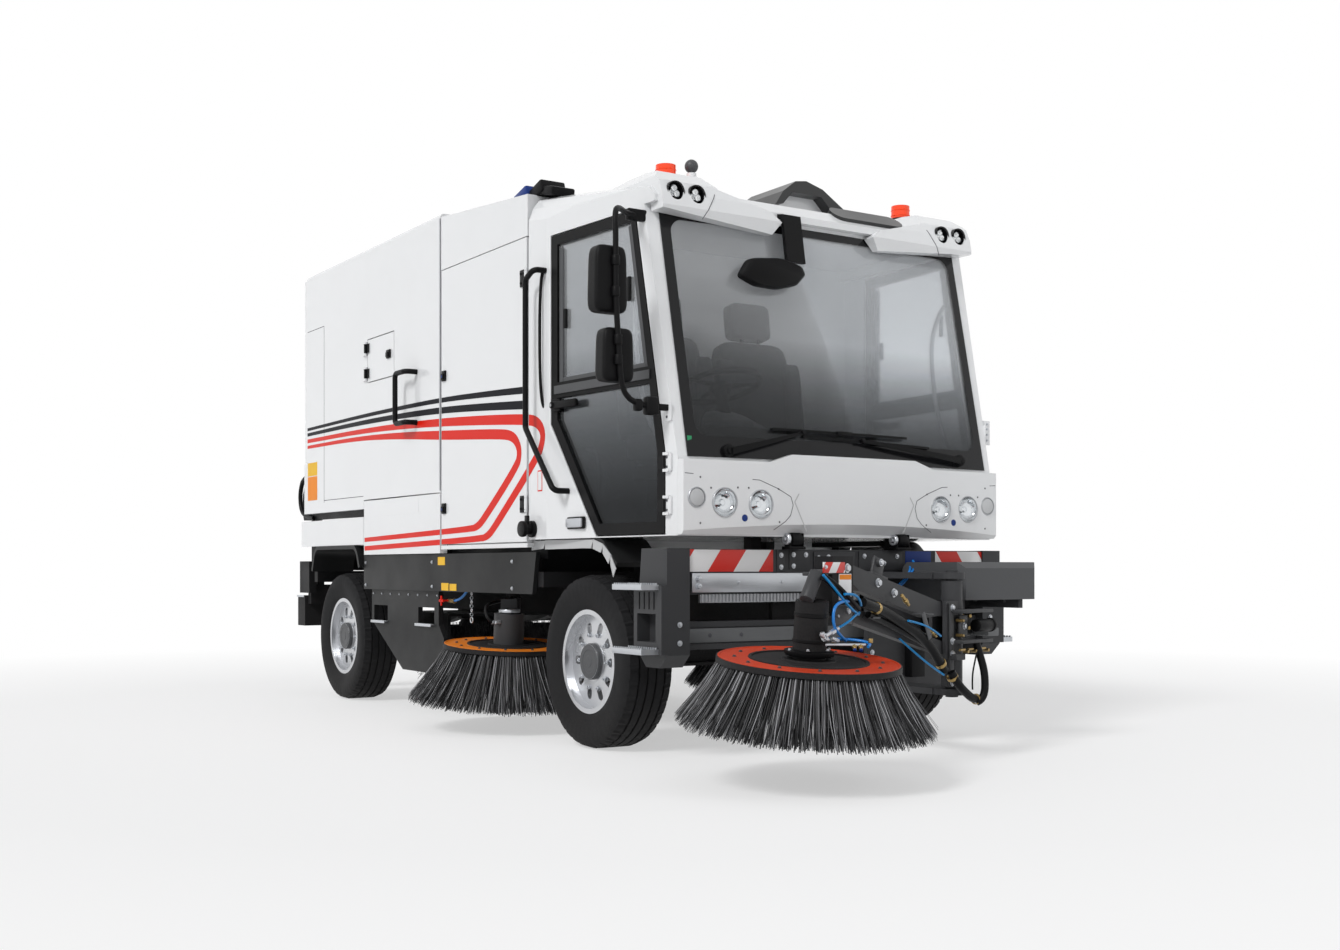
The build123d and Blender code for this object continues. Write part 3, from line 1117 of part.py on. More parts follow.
with BuildPart() as broom_housing:
    for side in SIDES.values():
        plate = [(-1640.0, RAIL_BOTTOM_Z), (-900.0, RAIL_BOTTOM_Z), (-900.0, 330.0), (-1200.0, 240.0),
                 (-1640.0, 330.0)]
        add(extruded_outline(plate, side, 880.0, 900.0))
        with BuildSketch(side_plane(side, 870.0)):
            with Locations(side_points(side, [(BROOM_X, BROOM_Z)])[0]):
                Circle(25 + FIT)
        extrude(amount=60, mode=Mode.SUBTRACT)
    box_between((-1640.0, -900.0, RAIL_BOTTOM_Z - 18), (-900.0, 900.0, RAIL_BOTTOM_Z))
label(broom_housing.part, "broom_housing")

# ---------------------------------------------------------------- brushes
BRUSH_PLATE_T = 26.0
SHAFT_R = 20.0
SHAFT_H = 60.0
MOTOR_GAP = 6.0


def brush_plane(centre, tilt):
    """Top face of a brush's disc, tilted down towards the front."""
    return Plane(origin=centre, x_dir=(cos(radians(tilt)), 0, -sin(radians(tilt))),
                 z_dir=(sin(radians(tilt)), 0, cos(radians(tilt))))


def make_brush(centre, tilt, disc_r, spread_r, drop):
    """Round brush: disc on top, bristles spreading down and out as a hollow cone."""
    plane = brush_plane(centre, tilt)
    section = Plane(origin=centre, x_dir=plane.x_dir, z_dir=(0, -1, 0))
    with BuildPart() as brush:
        with BuildSketch(section):
            with BuildLine():
                Polyline((0, 0), (disc_r, 0), (disc_r, -BRUSH_PLATE_T), (spread_r, -drop),
                         (spread_r - 130, -drop + 8), (disc_r - 120, -BRUSH_PLATE_T),
                         (0, -BRUSH_PLATE_T), close=True)
            make_face()
        revolve(axis=Axis(centre, plane.z_dir))
        with BuildSketch(plane):
            Circle(SHAFT_R)
        extrude(amount=SHAFT_H)
    return brush.part


SIDE_BRUSH = (-20.0, 930.0, 470.0)
SIDE_TILT = 4.0
SIDE_DISC_R = 365.0
SIDE_SPREAD_R = 550.0
SIDE_DROP = 360.0
FRONT_BRUSH = (2660.0, -900.0, 520.0)
FRONT_TILT = 5.6
FRONT_DISC_R = 385.0
FRONT_SPREAD_R = 545.0
FRONT_DROP = 320.0
for side_name, side in SIDES.items():
    centre = (SIDE_BRUSH[0], side * SIDE_BRUSH[1], SIDE_BRUSH[2])
    label(make_brush(centre, SIDE_TILT, SIDE_DISC_R, SIDE_SPREAD_R, SIDE_DROP),
          "side_brush_" + side_name)
label(make_brush(FRONT_BRUSH, FRONT_TILT, FRONT_DISC_R, FRONT_SPREAD_R, FRONT_DROP), "front_brush")

# Side arms: two parallel bars from an upright pin at the rear to the brush motor.
SIDE_PIN = (-530.0, 640.0)
ARM_LOW_Z = 560.0
ARM_HIGH_Z = 690.0
for side_name, side in SIDES.items():
    with BuildPart() as side_arm:
        with BuildSketch(Plane.XY.offset(ARM_LOW_Z - 30)):
            with Locations((SIDE_PIN[0], side * SIDE_PIN[1])):
                Circle(45)
                Circle(25 + FIT, mode=Mode.SUBTRACT)
        extrude(amount=ARM_HIGH_Z - ARM_LOW_Z + 60)
        bar_dir = (SIDE_BRUSH[0] - SIDE_PIN[0], side * (SIDE_BRUSH[1] - SIDE_PIN[1]), 0)
        bar_length = (bar_dir[0] ** 2 + bar_dir[1] ** 2) ** 0.5
        bar_plane = Plane(origin=(SIDE_PIN[0], side * SIDE_PIN[1], 0), x_dir=bar_dir, z_dir=(0, 0, 1))
        for bar_z in (ARM_LOW_Z, ARM_HIGH_Z):
            with BuildSketch(bar_plane.offset(bar_z - 22)):
                with Locations(((bar_length - 60 + 35) / 2, 0)):
                    Rectangle(bar_length - 60 - 35, 26)
            extrude(amount=44)
        with BuildSketch(bar_plane.offset(ARM_LOW_Z - 40)):
            with Locations((bar_length - 60, 0)):
                Rectangle(60, 90)
        extrude(amount=ARM_HIGH_Z - ARM_LOW_Z + 75)
        motor = brush_plane((SIDE_BRUSH[0], side * SIDE_BRUSH[1], SIDE_BRUSH[2]), SIDE_TILT)
        with BuildSketch(motor.offset(MOTOR_GAP)):
            Circle(85)
        extrude(amount=170)
        with BuildSketch(motor.offset(MOTOR_GAP)):
            Circle(SHAFT_R + FIT)
        extrude(amount=SHAFT_H, mode=Mode.SUBTRACT)
    label(side_arm.part, "side_arm_" + side_name)

with BuildPart() as arm_posts:
    for side in SIDES.values():
        with BuildSketch(Plane.XY.offset(ARM_LOW_Z - 60)):
            with Locations((SIDE_PIN[0], side * SIDE_PIN[1])):
                Circle(25)
        extrude(amount=RAIL_TOP_Z - ARM_LOW_Z + 60)
        add_upright_cylinder(SIDE_PIN[0], side * SIDE_PIN[1], ARM_LOW_Z - 60, ARM_LOW_Z - 36, 40)
        add_upright_cylinder(SIDE_PIN[0], side * SIDE_PIN[1], ARM_HIGH_Z + 36, RAIL_TOP_Z, 40)
label(arm_posts.part, "arm_posts")

# ---------------------------------------------------------------- front arm
ROOT = (2320.0, 230.0)                       # x, y of the upright swing axis
ROOT_HIGH_Z = 700.0
ROOT_LOW_Z = 520.0
LINK_PLAN = 868.0
LINK_RISE = 200.0
TO_BRUSH = (FRONT_BRUSH[0] - ROOT[0], FRONT_BRUSH[1] - ROOT[1])
TO_BRUSH_LENGTH = (TO_BRUSH[0] ** 2 + TO_BRUSH[1] ** 2) ** 0.5
ARM_DIR = (TO_BRUSH[0] / TO_BRUSH_LENGTH, TO_BRUSH[1] / TO_BRUSH_LENGTH)
SWING_PIN_R = 30.0
LINK_OFFSET = 95.0                           # from the swing axis to the links' root pins
LINK_HALF_T = 22.0
LINK_PIN_R = 12.0
ARM_COVER = ((1840.0, 350.0, 745.0), (2260.0, 880.0, 930.0))


def along(distance, z):
    """Point at a distance from the swing axis towards the brush."""
    return (ROOT[0] + ARM_DIR[0] * distance, ROOT[1] + ARM_DIR[1] * distance, z)


def link_pin_plane(distance, z):
    """Plane across a pin of the parallel links; its normal is the pin's axis."""
    return Plane(origin=along(distance, z), x_dir=(*ARM_DIR, 0), z_dir=(-ARM_DIR[1], ARM_DIR[0], 0))


with BuildPart() as arm_base:
    # Carrier from the front beam out to the swing axis, with two lugs round the post.
    box_between((BEAM_X[1], 120.0, 300.0), (BEAM_X[1] + 30, 760.0, 880.0))
    for lug_z in (300.0, 850.0):
        box_between((BEAM_X[1], 160.0, lug_z - 0), (ROOT[0] - 60, 340.0, lug_z + 30))
        with BuildSketch(Plane.XY.offset(lug_z)):
            with Locations(ROOT):
                Circle(62)
            with Locations((ROOT[0] - 50, ROOT[1])):
                Rectangle(100, 124)
        extrude(amount=30)
        with BuildSketch(Plane.XY.offset(lug_z)):
            with Locations(ROOT):
                Circle(SWING_PIN_R + FIT)
        extrude(amount=30, mode=Mode.SUBTRACT)
label(arm_base.part, "arm_base")

with BuildPart() as arm_cover:
    box_between(*ARM_COVER)
    chamfer(arm_cover.edges().filter_by(Axis.Y).group_by(Axis.Z)[-1], length=30)
    chamfer(arm_cover.edges().filter_by(Axis.Z).group_by(Axis.X)[-1], length=30)
label(arm_cover.part, "arm_cover")

with BuildPart() as swing_post:
    with BuildSketch(Plane.XY.offset(290)):
        with Locations(ROOT):
            Circle(SWING_PIN_R)
    extrude(amount=600)
    with BuildSketch(Plane.XY.offset(340)):
        with Locations(ROOT):
            Circle(50)
    extrude(amount=500)
    fork = Plane(origin=(ROOT[0], ROOT[1], 0), x_dir=(ARM_DIR[0], ARM_DIR[1], 0), z_dir=(0, 0, 1))
    for fork_side in (-1, 1):
        with BuildSketch(fork.offset(ROOT_LOW_Z - 45)):
            with Locations(((LINK_OFFSET + 40) / 2, fork_side * 36)):
                Rectangle(LINK_OFFSET + 40, 18)
        extrude(amount=ROOT_HIGH_Z - ROOT_LOW_Z + 90)
    for pin_z in (ROOT_LOW_Z, ROOT_HIGH_Z):
        with BuildSketch(link_pin_plane(LINK_OFFSET, pin_z)):
            Circle(LINK_PIN_R)
        extrude(amount=45, both=True)
label(swing_post.part, "swing_post")

LINK_LENGTH = (LINK_PLAN ** 2 + LINK_RISE ** 2) ** 0.5
LINK_AXIS = (-ARM_DIR[1], ARM_DIR[0], 0)
LINK_HALF_H = 30.0
for link_name, link_z, shoulder in (("upper_link", ROOT_HIGH_Z, 66.0), ("lower_link", ROOT_LOW_Z, 34.0)):
    start = along(LINK_OFFSET, link_z)
    link_dir = (ARM_DIR[0] * LINK_PLAN, ARM_DIR[1] * LINK_PLAN, LINK_RISE)
    link_plane = Plane(origin=start, x_dir=link_dir, z_dir=LINK_AXIS)
    with BuildPart() as link:
        with BuildSketch(link_plane.offset(-LINK_HALF_T)):
            with Locations((LINK_LENGTH / 2, 0)):
                SlotCenterToCenter(LINK_LENGTH, 2 * LINK_HALF_H)
            with BuildLine():
                Polyline((40, -LINK_HALF_H), (LINK_LENGTH - 40, -LINK_HALF_H), (LINK_LENGTH - 40, LINK_HALF_H),
                         (LINK_LENGTH - 150, shoulder), (160, shoulder), (40, LINK_HALF_H), close=True)
            make_face()
            with Locations((0, 0), (LINK_LENGTH, 0)):
                Circle(LINK_PIN_R + FIT, mode=Mode.SUBTRACT)
        extrude(amount=2 * LINK_HALF_T)
    label(link.part, link_name)

HEAD_PIN = LINK_OFFSET + LINK_PLAN
with BuildPart() as brush_head:
    head = Plane(origin=(ROOT[0], ROOT[1], 0), x_dir=(ARM_DIR[0], ARM_DIR[1], 0), z_dir=(0, 0, 1))
    for fork_side in (-1, 1):
        with BuildSketch(head.offset(ROOT_LOW_Z + LINK_RISE - 60)):
            with Locations((HEAD_PIN + 20, fork_side * 36)):
                Rectangle(130, 18)
        extrude(amount=ROOT_HIGH_Z - ROOT_LOW_Z + 110)
    with BuildSketch(head.offset(ROOT_LOW_Z + LINK_RISE - 60)):
        with Locations((HEAD_PIN + 95, 0)):
            Rectangle(30, 90)
    extrude(amount=ROOT_HIGH_Z - ROOT_LOW_Z + 110)
    with BuildSketch(head.offset(ROOT_LOW_Z + LINK_RISE - 60)):
        with Locations(((HEAD_PIN + 95 + TO_BRUSH_LENGTH) / 2, 0)):
            Rectangle(TO_BRUSH_LENGTH - HEAD_PIN - 95, 90)
    extrude(amount=40)
    spindle = brush_plane(FRONT_BRUSH, FRONT_TILT)
    with BuildSketch(spindle.offset(MOTOR_GAP)):
        Circle(70)
    extrude(amount=240)
    with BuildSketch(spindle.offset(MOTOR_GAP)):
        Circle(SHAFT_R + FIT)
    extrude(amount=SHAFT_H, mode=Mode.SUBTRACT)
    for pin_z in (ROOT_LOW_Z, ROOT_HIGH_Z):
        with BuildSketch(link_pin_plane(HEAD_PIN, pin_z + LINK_RISE)):
            Circle(LINK_PIN_R)
        extrude(amount=45, both=True)
label(brush_head.part, "brush_head")
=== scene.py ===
"""Street sweeper truck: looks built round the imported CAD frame. Metres, +X forward, +Y left, +Z up."""
import math
import random

import bmesh
import bpy
from mathutils import Matrix, Vector


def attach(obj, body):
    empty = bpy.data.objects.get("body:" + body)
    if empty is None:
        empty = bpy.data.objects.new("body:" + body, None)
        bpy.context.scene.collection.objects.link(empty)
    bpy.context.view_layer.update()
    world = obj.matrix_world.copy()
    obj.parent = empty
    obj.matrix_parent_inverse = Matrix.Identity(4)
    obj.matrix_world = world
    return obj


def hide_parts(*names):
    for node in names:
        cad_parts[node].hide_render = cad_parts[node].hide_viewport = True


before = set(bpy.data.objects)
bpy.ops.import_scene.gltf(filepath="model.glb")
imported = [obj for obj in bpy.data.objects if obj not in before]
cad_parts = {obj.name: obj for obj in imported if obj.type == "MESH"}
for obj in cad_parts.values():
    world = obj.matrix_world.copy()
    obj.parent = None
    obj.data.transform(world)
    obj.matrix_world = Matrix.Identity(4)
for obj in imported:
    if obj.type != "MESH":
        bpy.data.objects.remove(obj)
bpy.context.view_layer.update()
random.seed(7)

HALF_WIDTH = 1.080
TAPER_X = 0.710                 # the cab's sides run inward ahead of here
TAPER = 0.0818
SKIN = 0.0008                   # how far stickers stand off the paint
FRONT_AXLE_X = 1.060
REAR_AXLE_X = -2.320
AXLE_Z = 0.4335
WHEEL_Y = 0.925
SIDES = {"right": -1, "left": 1}
UP = Vector((0, 0, 1))
FORWARD = (1, 0, 0)
BACKWARD = (-1, 0, 0)


# ---------------------------------------------------------------- node trees
def mix_shaders(tree, fac, first, second):
    mix = tree.nodes.new("ShaderNodeMixShader")
    for slot, socket in enumerate((fac, first, second)):
        tree.links.new(socket, mix.inputs[slot])
    return mix.outputs[0]


def seen_rays(tree):
    """1 for rays that look at something from the camera, off gloss or through glass, else 0."""
    path = tree.nodes.new("ShaderNodeLightPath").outputs
    seen = path["Is Camera Ray"]
    for kind in ("Is Glossy Ray", "Is Transmission Ray"):
        either = tree.nodes.new("ShaderNodeMath")
        either.operation = "MAXIMUM"
        tree.links.new(seen, either.inputs[0])
        tree.links.new(path[kind], either.inputs[1])
        seen = either.outputs[0]
    return seen


class Shade:
    """Node tree helper for one procedural material placed by object position."""

    def __init__(self, name):
        self.material = bpy.data.materials.new(name)
        self.material.use_nodes = True
        self.tree = self.material.node_tree
        self.shader = self.tree.nodes["Principled BSDF"]
        self.place = self.node("ShaderNodeTexCoord").outputs["Object"]
        split = self.node("ShaderNodeSeparateXYZ")
        self.join(self.place, split.inputs[0])
        self.x, self.y, self.z = split.outputs

    def node(self, kind, **values):
        made = self.tree.nodes.new(kind)
        for name, value in values.items():
            self.put(made.inputs[name.replace("_", " ")], value)
        return made

    def join(self, source, target):
        self.tree.links.new(source, target)

    def put(self, target, value):
        """Give an input a number, a colour or another node's output."""
        if isinstance(value, tuple):
            target.default_value = (*value[:3], 1) if len(target.default_value) == 4 else value
        elif isinstance(value, (int, float)):
            target.default_value = value
        else:
            self.join(value, target)

    def set(self, **values):
        for name, value in values.items():
            self.put(self.shader.inputs[name.replace("_", " ")], value)

    def end(self, socket):
        self.join(socket, self.tree.nodes["Material Output"].inputs["Surface"])
        return self.material

    def math(self, operation, a, b=None, clamp=False):
        node = self.node("ShaderNodeMath")
        node.operation = operation
        node.use_clamp = clamp
        self.put(node.inputs[0], a)
        if b is not None:
            self.put(node.inputs[1], b)
        return node.outputs[0]

    def noise(self, scale, detail=4.0):
        spread = self.node("ShaderNodeMapping", Vector=self.place)
        return self.node("ShaderNodeTexNoise", Vector=spread.outputs[0], Scale=scale,
                         Detail=detail).outputs["Fac"]

    def span(self, value, low, high, out_low=0.0, out_high=1.0):
        return self.node("ShaderNodeMapRange", Value=value, From_Min=low, From_Max=high, To_Min=out_low,
                         To_Max=out_high).outputs["Result"]

    def blend(self, fac, a, b):
        node = self.node("ShaderNodeMix")
        node.data_type = "RGBA"
        for slot, value in ((0, fac), (6, a), (7, b)):
            self.put(node.inputs[slot], value)
        return node.outputs[2]

    def bump(self, height, strength, distance=0.002):
        node = self.node("ShaderNodeBump", Height=height, Strength=strength, Distance=distance)
        self.join(node.outputs[0], self.shader.inputs["Normal"])


# ---------------------------------------------------------------- camera, light, floor
WHITE_LIGHT = (1, 1, 1, 1)
GLOW_NEAR, GLOW_FAR = 4.2, 9.0      # the floor turns into the white backdrop between these distances
GLOW_LEAST = 0.5


def look():
    scene = bpy.context.scene
    camera = bpy.data.cameras.new("camera")
    camera.lens = 39.906
    camera.sensor_width = 36.0
    camera.shift_y = 0.0695
    camera.clip_end = 200
    eye = bpy.data.objects.new("camera", camera)
    eye.location = (7.50, -4.727, 0.90)
    eye.rotation_euler = (math.radians(90), 0, math.atan2(0.8387, 0.5446))
    scene.collection.objects.link(eye)
    scene.camera = eye
    scene.view_settings.view_transform = "Standard"
    scene.view_settings.look = "None"

    world = bpy.data.worlds.new("studio")
    scene.world = world
    world.use_nodes = True
    tree = world.node_tree
    back = tree.nodes["Background"]
    back.inputs["Strength"].default_value = 0.42
    where = tree.nodes.new("ShaderNodeTexCoord")
    apart = tree.nodes.new("ShaderNodeSeparateXYZ")
    ramp = tree.nodes.new("ShaderNodeValToRGB")
    tree.links.new(where.outputs["Generated"], apart.inputs[0])
    tree.links.new(apart.outputs["Z"], ramp.inputs["Fac"])
    tree.links.new(ramp.outputs["Color"], back.inputs["Color"])
    stops = ramp.color_ramp.elements
    stops[0].color = WHITE_LIGHT
    stops[1].color = (0.80, 0.82, 0.85, 1)
    stops.new(0.25).color = (0.99, 0.99, 1, 1)
    seen = tree.nodes.new("ShaderNodeBackground")
    seen.inputs["Color"].default_value = WHITE_LIGHT
    seen.inputs["Strength"].default_value = 1.0
    both = mix_shaders(tree, seen_rays(tree), back.outputs[0], seen.outputs[0])
    tree.links.new(both, tree.nodes["World Output"].inputs["Surface"])

    def light(name, kind, energy, place, target):
        lamp = bpy.data.lights.new(name, kind)
        lamp.energy = energy
        body = bpy.data.objects.new(name, lamp)
        body.location = place
        body.rotation_euler = (Vector(target) - Vector(place)).to_track_quat("-Z", "Y").to_euler()
        scene.collection.objects.link(body)
        return body

    light("key", "SUN", 1.8, (3, -9, 9), (0, 0, 1)).data.angle = math.radians(18)
    front = light("front", "AREA", 75, (9, 2.5, 5), (1.6, 0, 1.4))
    front.data.shape = "DISK"
    front.data.size = 3.0
    front.visible_glossy = False


def floor():
    bpy.ops.mesh.primitive_circle_add(vertices=96, radius=60, fill_type="NGON", location=(0, 0, 0))
    ground = bpy.context.object
    ground.name = "floor"
    shade = Shade("floor")
    shade.set(Base_Color=(0.93, 0.93, 0.93), Roughness=0.9)
    glow = shade.node("ShaderNodeEmission", Color=WHITE_LIGHT, Strength=1.0)
    length = shade.node("ShaderNodeVectorMath")
    length.operation = "LENGTH"
    shade.join(shade.place, length.inputs[0])
    far = shade.span(length.outputs["Value"], GLOW_NEAR, GLOW_FAR, GLOW_LEAST)
    glowing = shade.math("MULTIPLY", seen_rays(shade.tree), far)
    ground.data.materials.append(shade.end(mix_shaders(shade.tree, glowing, shade.shader.outputs[0],
                                                       glow.outputs[0])))


look()
floor()


# ---------------------------------------------------------------- materials
def finish(name, colour, rough, metallic=0.0, mottle=0.08, grain=300, bump=0.10, coat=0.0, dirt=None,
           shine=0.5):
    """Painted, moulded or plated surface: colour variation, roughness variation and fine relief."""
    shade = Shade(name)
    cloudy = shade.noise(3.0)
    fine = shade.noise(grain, 6.0)
    dark = tuple(c * (1 - mottle) for c in colour)
    tint = shade.blend(cloudy, dark, tuple(min(1, c * (1 + mottle * 0.5)) for c in colour))
    if dirt:
        low, high, strength = dirt
        grime = shade.math("MULTIPLY", shade.span(shade.z, high, low), shade.span(fine, 0.35, 0.75))
        tint = shade.blend(shade.math("MULTIPLY", grime, strength), tint, (0.23, 0.20, 0.17))
    shade.set(Base_Color=tint, Metallic=metallic, Coat_Weight=coat, Specular_IOR_Level=shine,
              Roughness=shade.span(cloudy, 0.3, 0.7, rough * 0.85, min(1.0, rough * 1.2)))
    shade.bump(fine, bump)
    return shade.material


def glass_material(name, shaded_foot_tint, high_tint, painted_shade_span, frit=None, painted_light_band=None):
    """Thin tinted glass whose tint darkens towards its foot as painted shade; a pale veil of painted light
    covers its top and frit is the black printed border.
    """
    shade = Shade(name)
    # painted shade: the see-through tint darkens towards the foot, standing for the dark cab behind the glass
    tint = shade.blend(shade.span(shade.z, *painted_shade_span), shaded_foot_tint, high_tint)
    clear = shade.node("ShaderNodeBsdfTransparent", Color=tint)
    shine = shade.node("ShaderNodeBsdfGlossy", Roughness=0.03, Color=(0.9, 0.93, 0.96, 1))
    edge = shade.node("ShaderNodeFresnel", IOR=1.45)
    half = shade.math("MULTIPLY", edge.outputs[0], 0.5, clamp=True)
    last = mix_shaders(shade.tree, half, clear.outputs[0], shine.outputs[0])
    # painted light: a pale diffuse veil mixed over the top of the glass
    if painted_light_band:
        painted_light_diffuse = shade.node("ShaderNodeBsdfDiffuse", Color=(0.80, 0.81, 0.82, 1))
        last = mix_shaders(shade.tree, shade.span(shade.z, *painted_light_band), last, painted_light_diffuse.outputs[0])
    if frit:
        half_y, low_z, high_z, bend = frit
        beside = shade.math("SUBTRACT", shade.math("ABSOLUTE", shade.y), half_y - bend)
        off = shade.math("ABSOLUTE", shade.math("SUBTRACT", shade.z, (low_z + high_z) / 2))
        beyond = shade.math("SUBTRACT", off, (high_z - low_z) / 2 - bend)
        squares = []
        for distance in (beside, beyond):
            distance = shade.math("MAXIMUM", distance, 0.0)
            squares.append(shade.math("MULTIPLY", distance, distance))
        border = shade.math("GREATER_THAN", shade.math("SQRT", shade.math("ADD", *squares)), bend)
        shade.set(Base_Color=(0.008, 0.008, 0.009), Roughness=0.16, Specular_IOR_Level=0.25)
        last = mix_shaders(shade.tree, border, last, shade.shader.outputs[0])
    return shade.end(last)


def lit(name, colour, strength):
    shade = Shade(name)
    tint = shade.blend(shade.noise(40), colour, tuple(c * 0.8 for c in colour))
    shade.set(Base_Color=tint, Roughness=0.15, Emission_Color=colour, Emission_Strength=strength)
    return shade.material


def weave(name, colour):
    shade = Shade(name)
    waves = [shade.math("SINE", shade.math("MULTIPLY", way, 2200.0)) for way in (shade.y, shade.z)]
    tint = shade.blend(shade.noise(14), colour, tuple(c * 1.5 for c in colour))
    shade.set(Base_Color=tint, Roughness=0.92, Sheen_Weight=0.3)
    shade.bump(shade.math("MULTIPLY", *waves), 0.4, 0.001)
    return shade.material


def stripes(name, pitch, shift, slope=0.72):
    """Diagonal red and white warning stripes, mirrored about the middle of the front."""
    shade = Shade(name)
    run = shade.math("ADD", shade.math("ABSOLUTE", shade.y), shade.math("MULTIPLY", shade.z, slope))
    wave = shade.math("FRACT", shade.math("MULTIPLY", shade.math("ADD", run, shift), 1 / pitch))
    tint = shade.blend(shade.math("GREATER_THAN", wave, 0.5), (0.66, 0.022, 0.012), (0.82, 0.82, 0.82))
    shade.set(Base_Color=tint, Roughness=0.35)
    shade.bump(shade.noise(900, 2), 0.1)
    return shade.material


WHITE = finish("white_paint", (0.80, 0.81, 0.82), 0.22, mottle=0.02, grain=220, bump=0.03, coat=0.5,
               dirt=(0.95, 1.35, 0.10))
DARK = finish("dark_grey_paint", (0.046, 0.047, 0.050), 0.45, bump=0.12, dirt=(0.2, 0.9, 0.06), shine=0.22)
# near-black for guards, fenders and broom housing: partly their own blackish colour, partly painted shade,
# darker than the dark grey paint
SKIRT = finish("skirt_paint_and_shade", (0.012, 0.0123, 0.0127), 0.45, bump=0.12, shine=0.20)
MID_GREY = finish("mid_grey_paint", (0.075, 0.077, 0.081), 0.42, bump=0.12, shine=0.3)
BONNET = finish("hood_grey", (0.020, 0.0205, 0.021), 0.32)
CHASSIS = finish("chassis_black", (0.012, 0.012, 0.013), 0.55, grain=120, bump=0.25, dirt=(0.1, 0.9, 0.1),
                 shine=0.15)
PLASTIC = finish("black_plastic", (0.005, 0.005, 0.0055), 0.42, grain=700, bump=0.25, shine=0.12)
GLOSS_BLACK = finish("gloss_black", (0.008, 0.008, 0.009), 0.12, grain=90, bump=0.02, shine=0.4)
RUBBER = finish("tyre_rubber", (0.012, 0.012, 0.013), 0.72, grain=160, bump=0.35, mottle=0.3,
                dirt=(0.0, 0.4, 0.06), shine=0.18)
ALLOY = finish("rim_metal", (0.62, 0.63, 0.65), 0.28, metallic=0.9, grain=150, mottle=0.25)
STEEL = finish("zinc_steel", (0.58, 0.60, 0.63), 0.36, metallic=0.85, grain=90, bump=0.15, mottle=0.22)
SILVER = finish("silver_trim", (0.45, 0.46, 0.48), 0.35, metallic=0.6, grain=200, bump=0.08)
CHROME = finish("chrome", (0.85, 0.86, 0.88), 0.06, metallic=1.0, grain=30, bump=0.02, mottle=0.03)
BRASS = finish("brass", (0.36, 0.25, 0.10), 0.35, metallic=0.9, grain=200)
RED = finish("red_film", (0.72, 0.014, 0.004), 0.35, mottle=0.06, bump=0.03, shine=0.15)
BLACK_FILM = finish("black_film", (0.004, 0.0045, 0.008), 0.35, mottle=0.05, bump=0.03, shine=0.06)
ORANGE_FILM = finish("orange_film", (0.86, 0.26, 0.015), 0.4, mottle=0.1, grain=250, bump=0.04, shine=0.2)
YELLOW_FILM = finish("yellow_film", (0.86, 0.50, 0.02), 0.4, mottle=0.1, grain=250, bump=0.04, shine=0.2)
BRUSH_RED = finish("brush_red", (0.60, 0.050, 0.012), 0.5, mottle=0.35, grain=45, bump=0.3, shine=0.2)
BRUSH_ORANGE = finish("brush_orange", (0.90, 0.24, 0.015), 0.45, mottle=0.3, grain=45, bump=0.3, shine=0.2)
BLUE = finish("blue_plastic", (0.008, 0.035, 0.20), 0.35, mottle=0.1, shine=0.25)
CYAN = finish("cyan_hose", (0.005, 0.23, 0.56), 0.3, mottle=0.1, bump=0.05, shine=0.25)
AZURE = finish("azure_hose", (0.010, 0.20, 0.62), 0.3, mottle=0.1, bump=0.05)
SEAM = finish("seam", (0.10, 0.10, 0.11), 0.8, grain=200, shine=0.2)
CAST = finish("cast_metal", (0.10, 0.10, 0.105), 0.6, metallic=0.5, grain=80, bump=0.5, shine=0.2)
TRIM = finish("cab_trim", (0.16, 0.165, 0.17), 0.7, grain=500, bump=0.3, shine=0.25)
DULL_SHEET = finish("dull_sheet", (0.16, 0.165, 0.17), 0.5, metallic=0.5, grain=120, bump=0.15, mottle=0.3)
MIRRORED = finish("lamp_reflector", (0.86, 0.87, 0.89), 0.08, metallic=1.0, grain=25, bump=0.35, mottle=0.3)
MILKY = finish("indicator_lens", (0.55, 0.56, 0.57), 0.15, grain=500, bump=0.5, coat=0.6, mottle=0.12)
LEAF_GREEN = finish("green_mark", (0.02, 0.30, 0.12), 0.4, grain=200, bump=0.02)
# pale grey: used for the column cover, for painted shade along the front panel's creases and for a painted
# highlight on the front wheel arch's lip
PALE = finish("panel_crease", (0.50, 0.505, 0.51), 0.4, grain=200, bump=0.02)
BRISTLE = finish("bristles", (0.014, 0.014, 0.015), 0.5, mottle=0.4, shine=0.3)
BRISTLE_TONES = [finish(f"bristles_{name}", (tone, tone, tone * 1.04), 0.5, mottle=0.4, shine=0.3)
                 for name, tone in (("grey", 0.12), ("pale", 0.42))]
FABRIC = weave("seat_fabric", (0.030, 0.031, 0.034))
BEACON = lit("beacon_lens", (0.90, 0.06, 0.01), 0.25)
WARNING = stripes("warning_stripes", 0.295, 0.161)
WARNING_SMALL = stripes("warning_small", 0.105, 0.02)
# windscreen and door glass darken towards the foot as painted shade and carry a pale veil of painted light at
# the top
SCREEN = glass_material("windscreen_glass", (0.24, 0.245, 0.25), (0.98, 0.985, 0.99), (1.48, 2.02),
                        (0.890, 1.515, 2.56, 0.07), (1.80, 2.50, 0.02, 0.16))
DOOR_GLASS = glass_material("door_glass", (0.16, 0.165, 0.17), (0.93, 0.935, 0.94), (1.20, 2.02),
                            painted_light_band=(1.60, 2.50, 0.00, 0.12))
LENS = glass_material("lamp_lens", (0.9, 0.91, 0.92), (0.9, 0.91, 0.92), (1.0, 1.2))

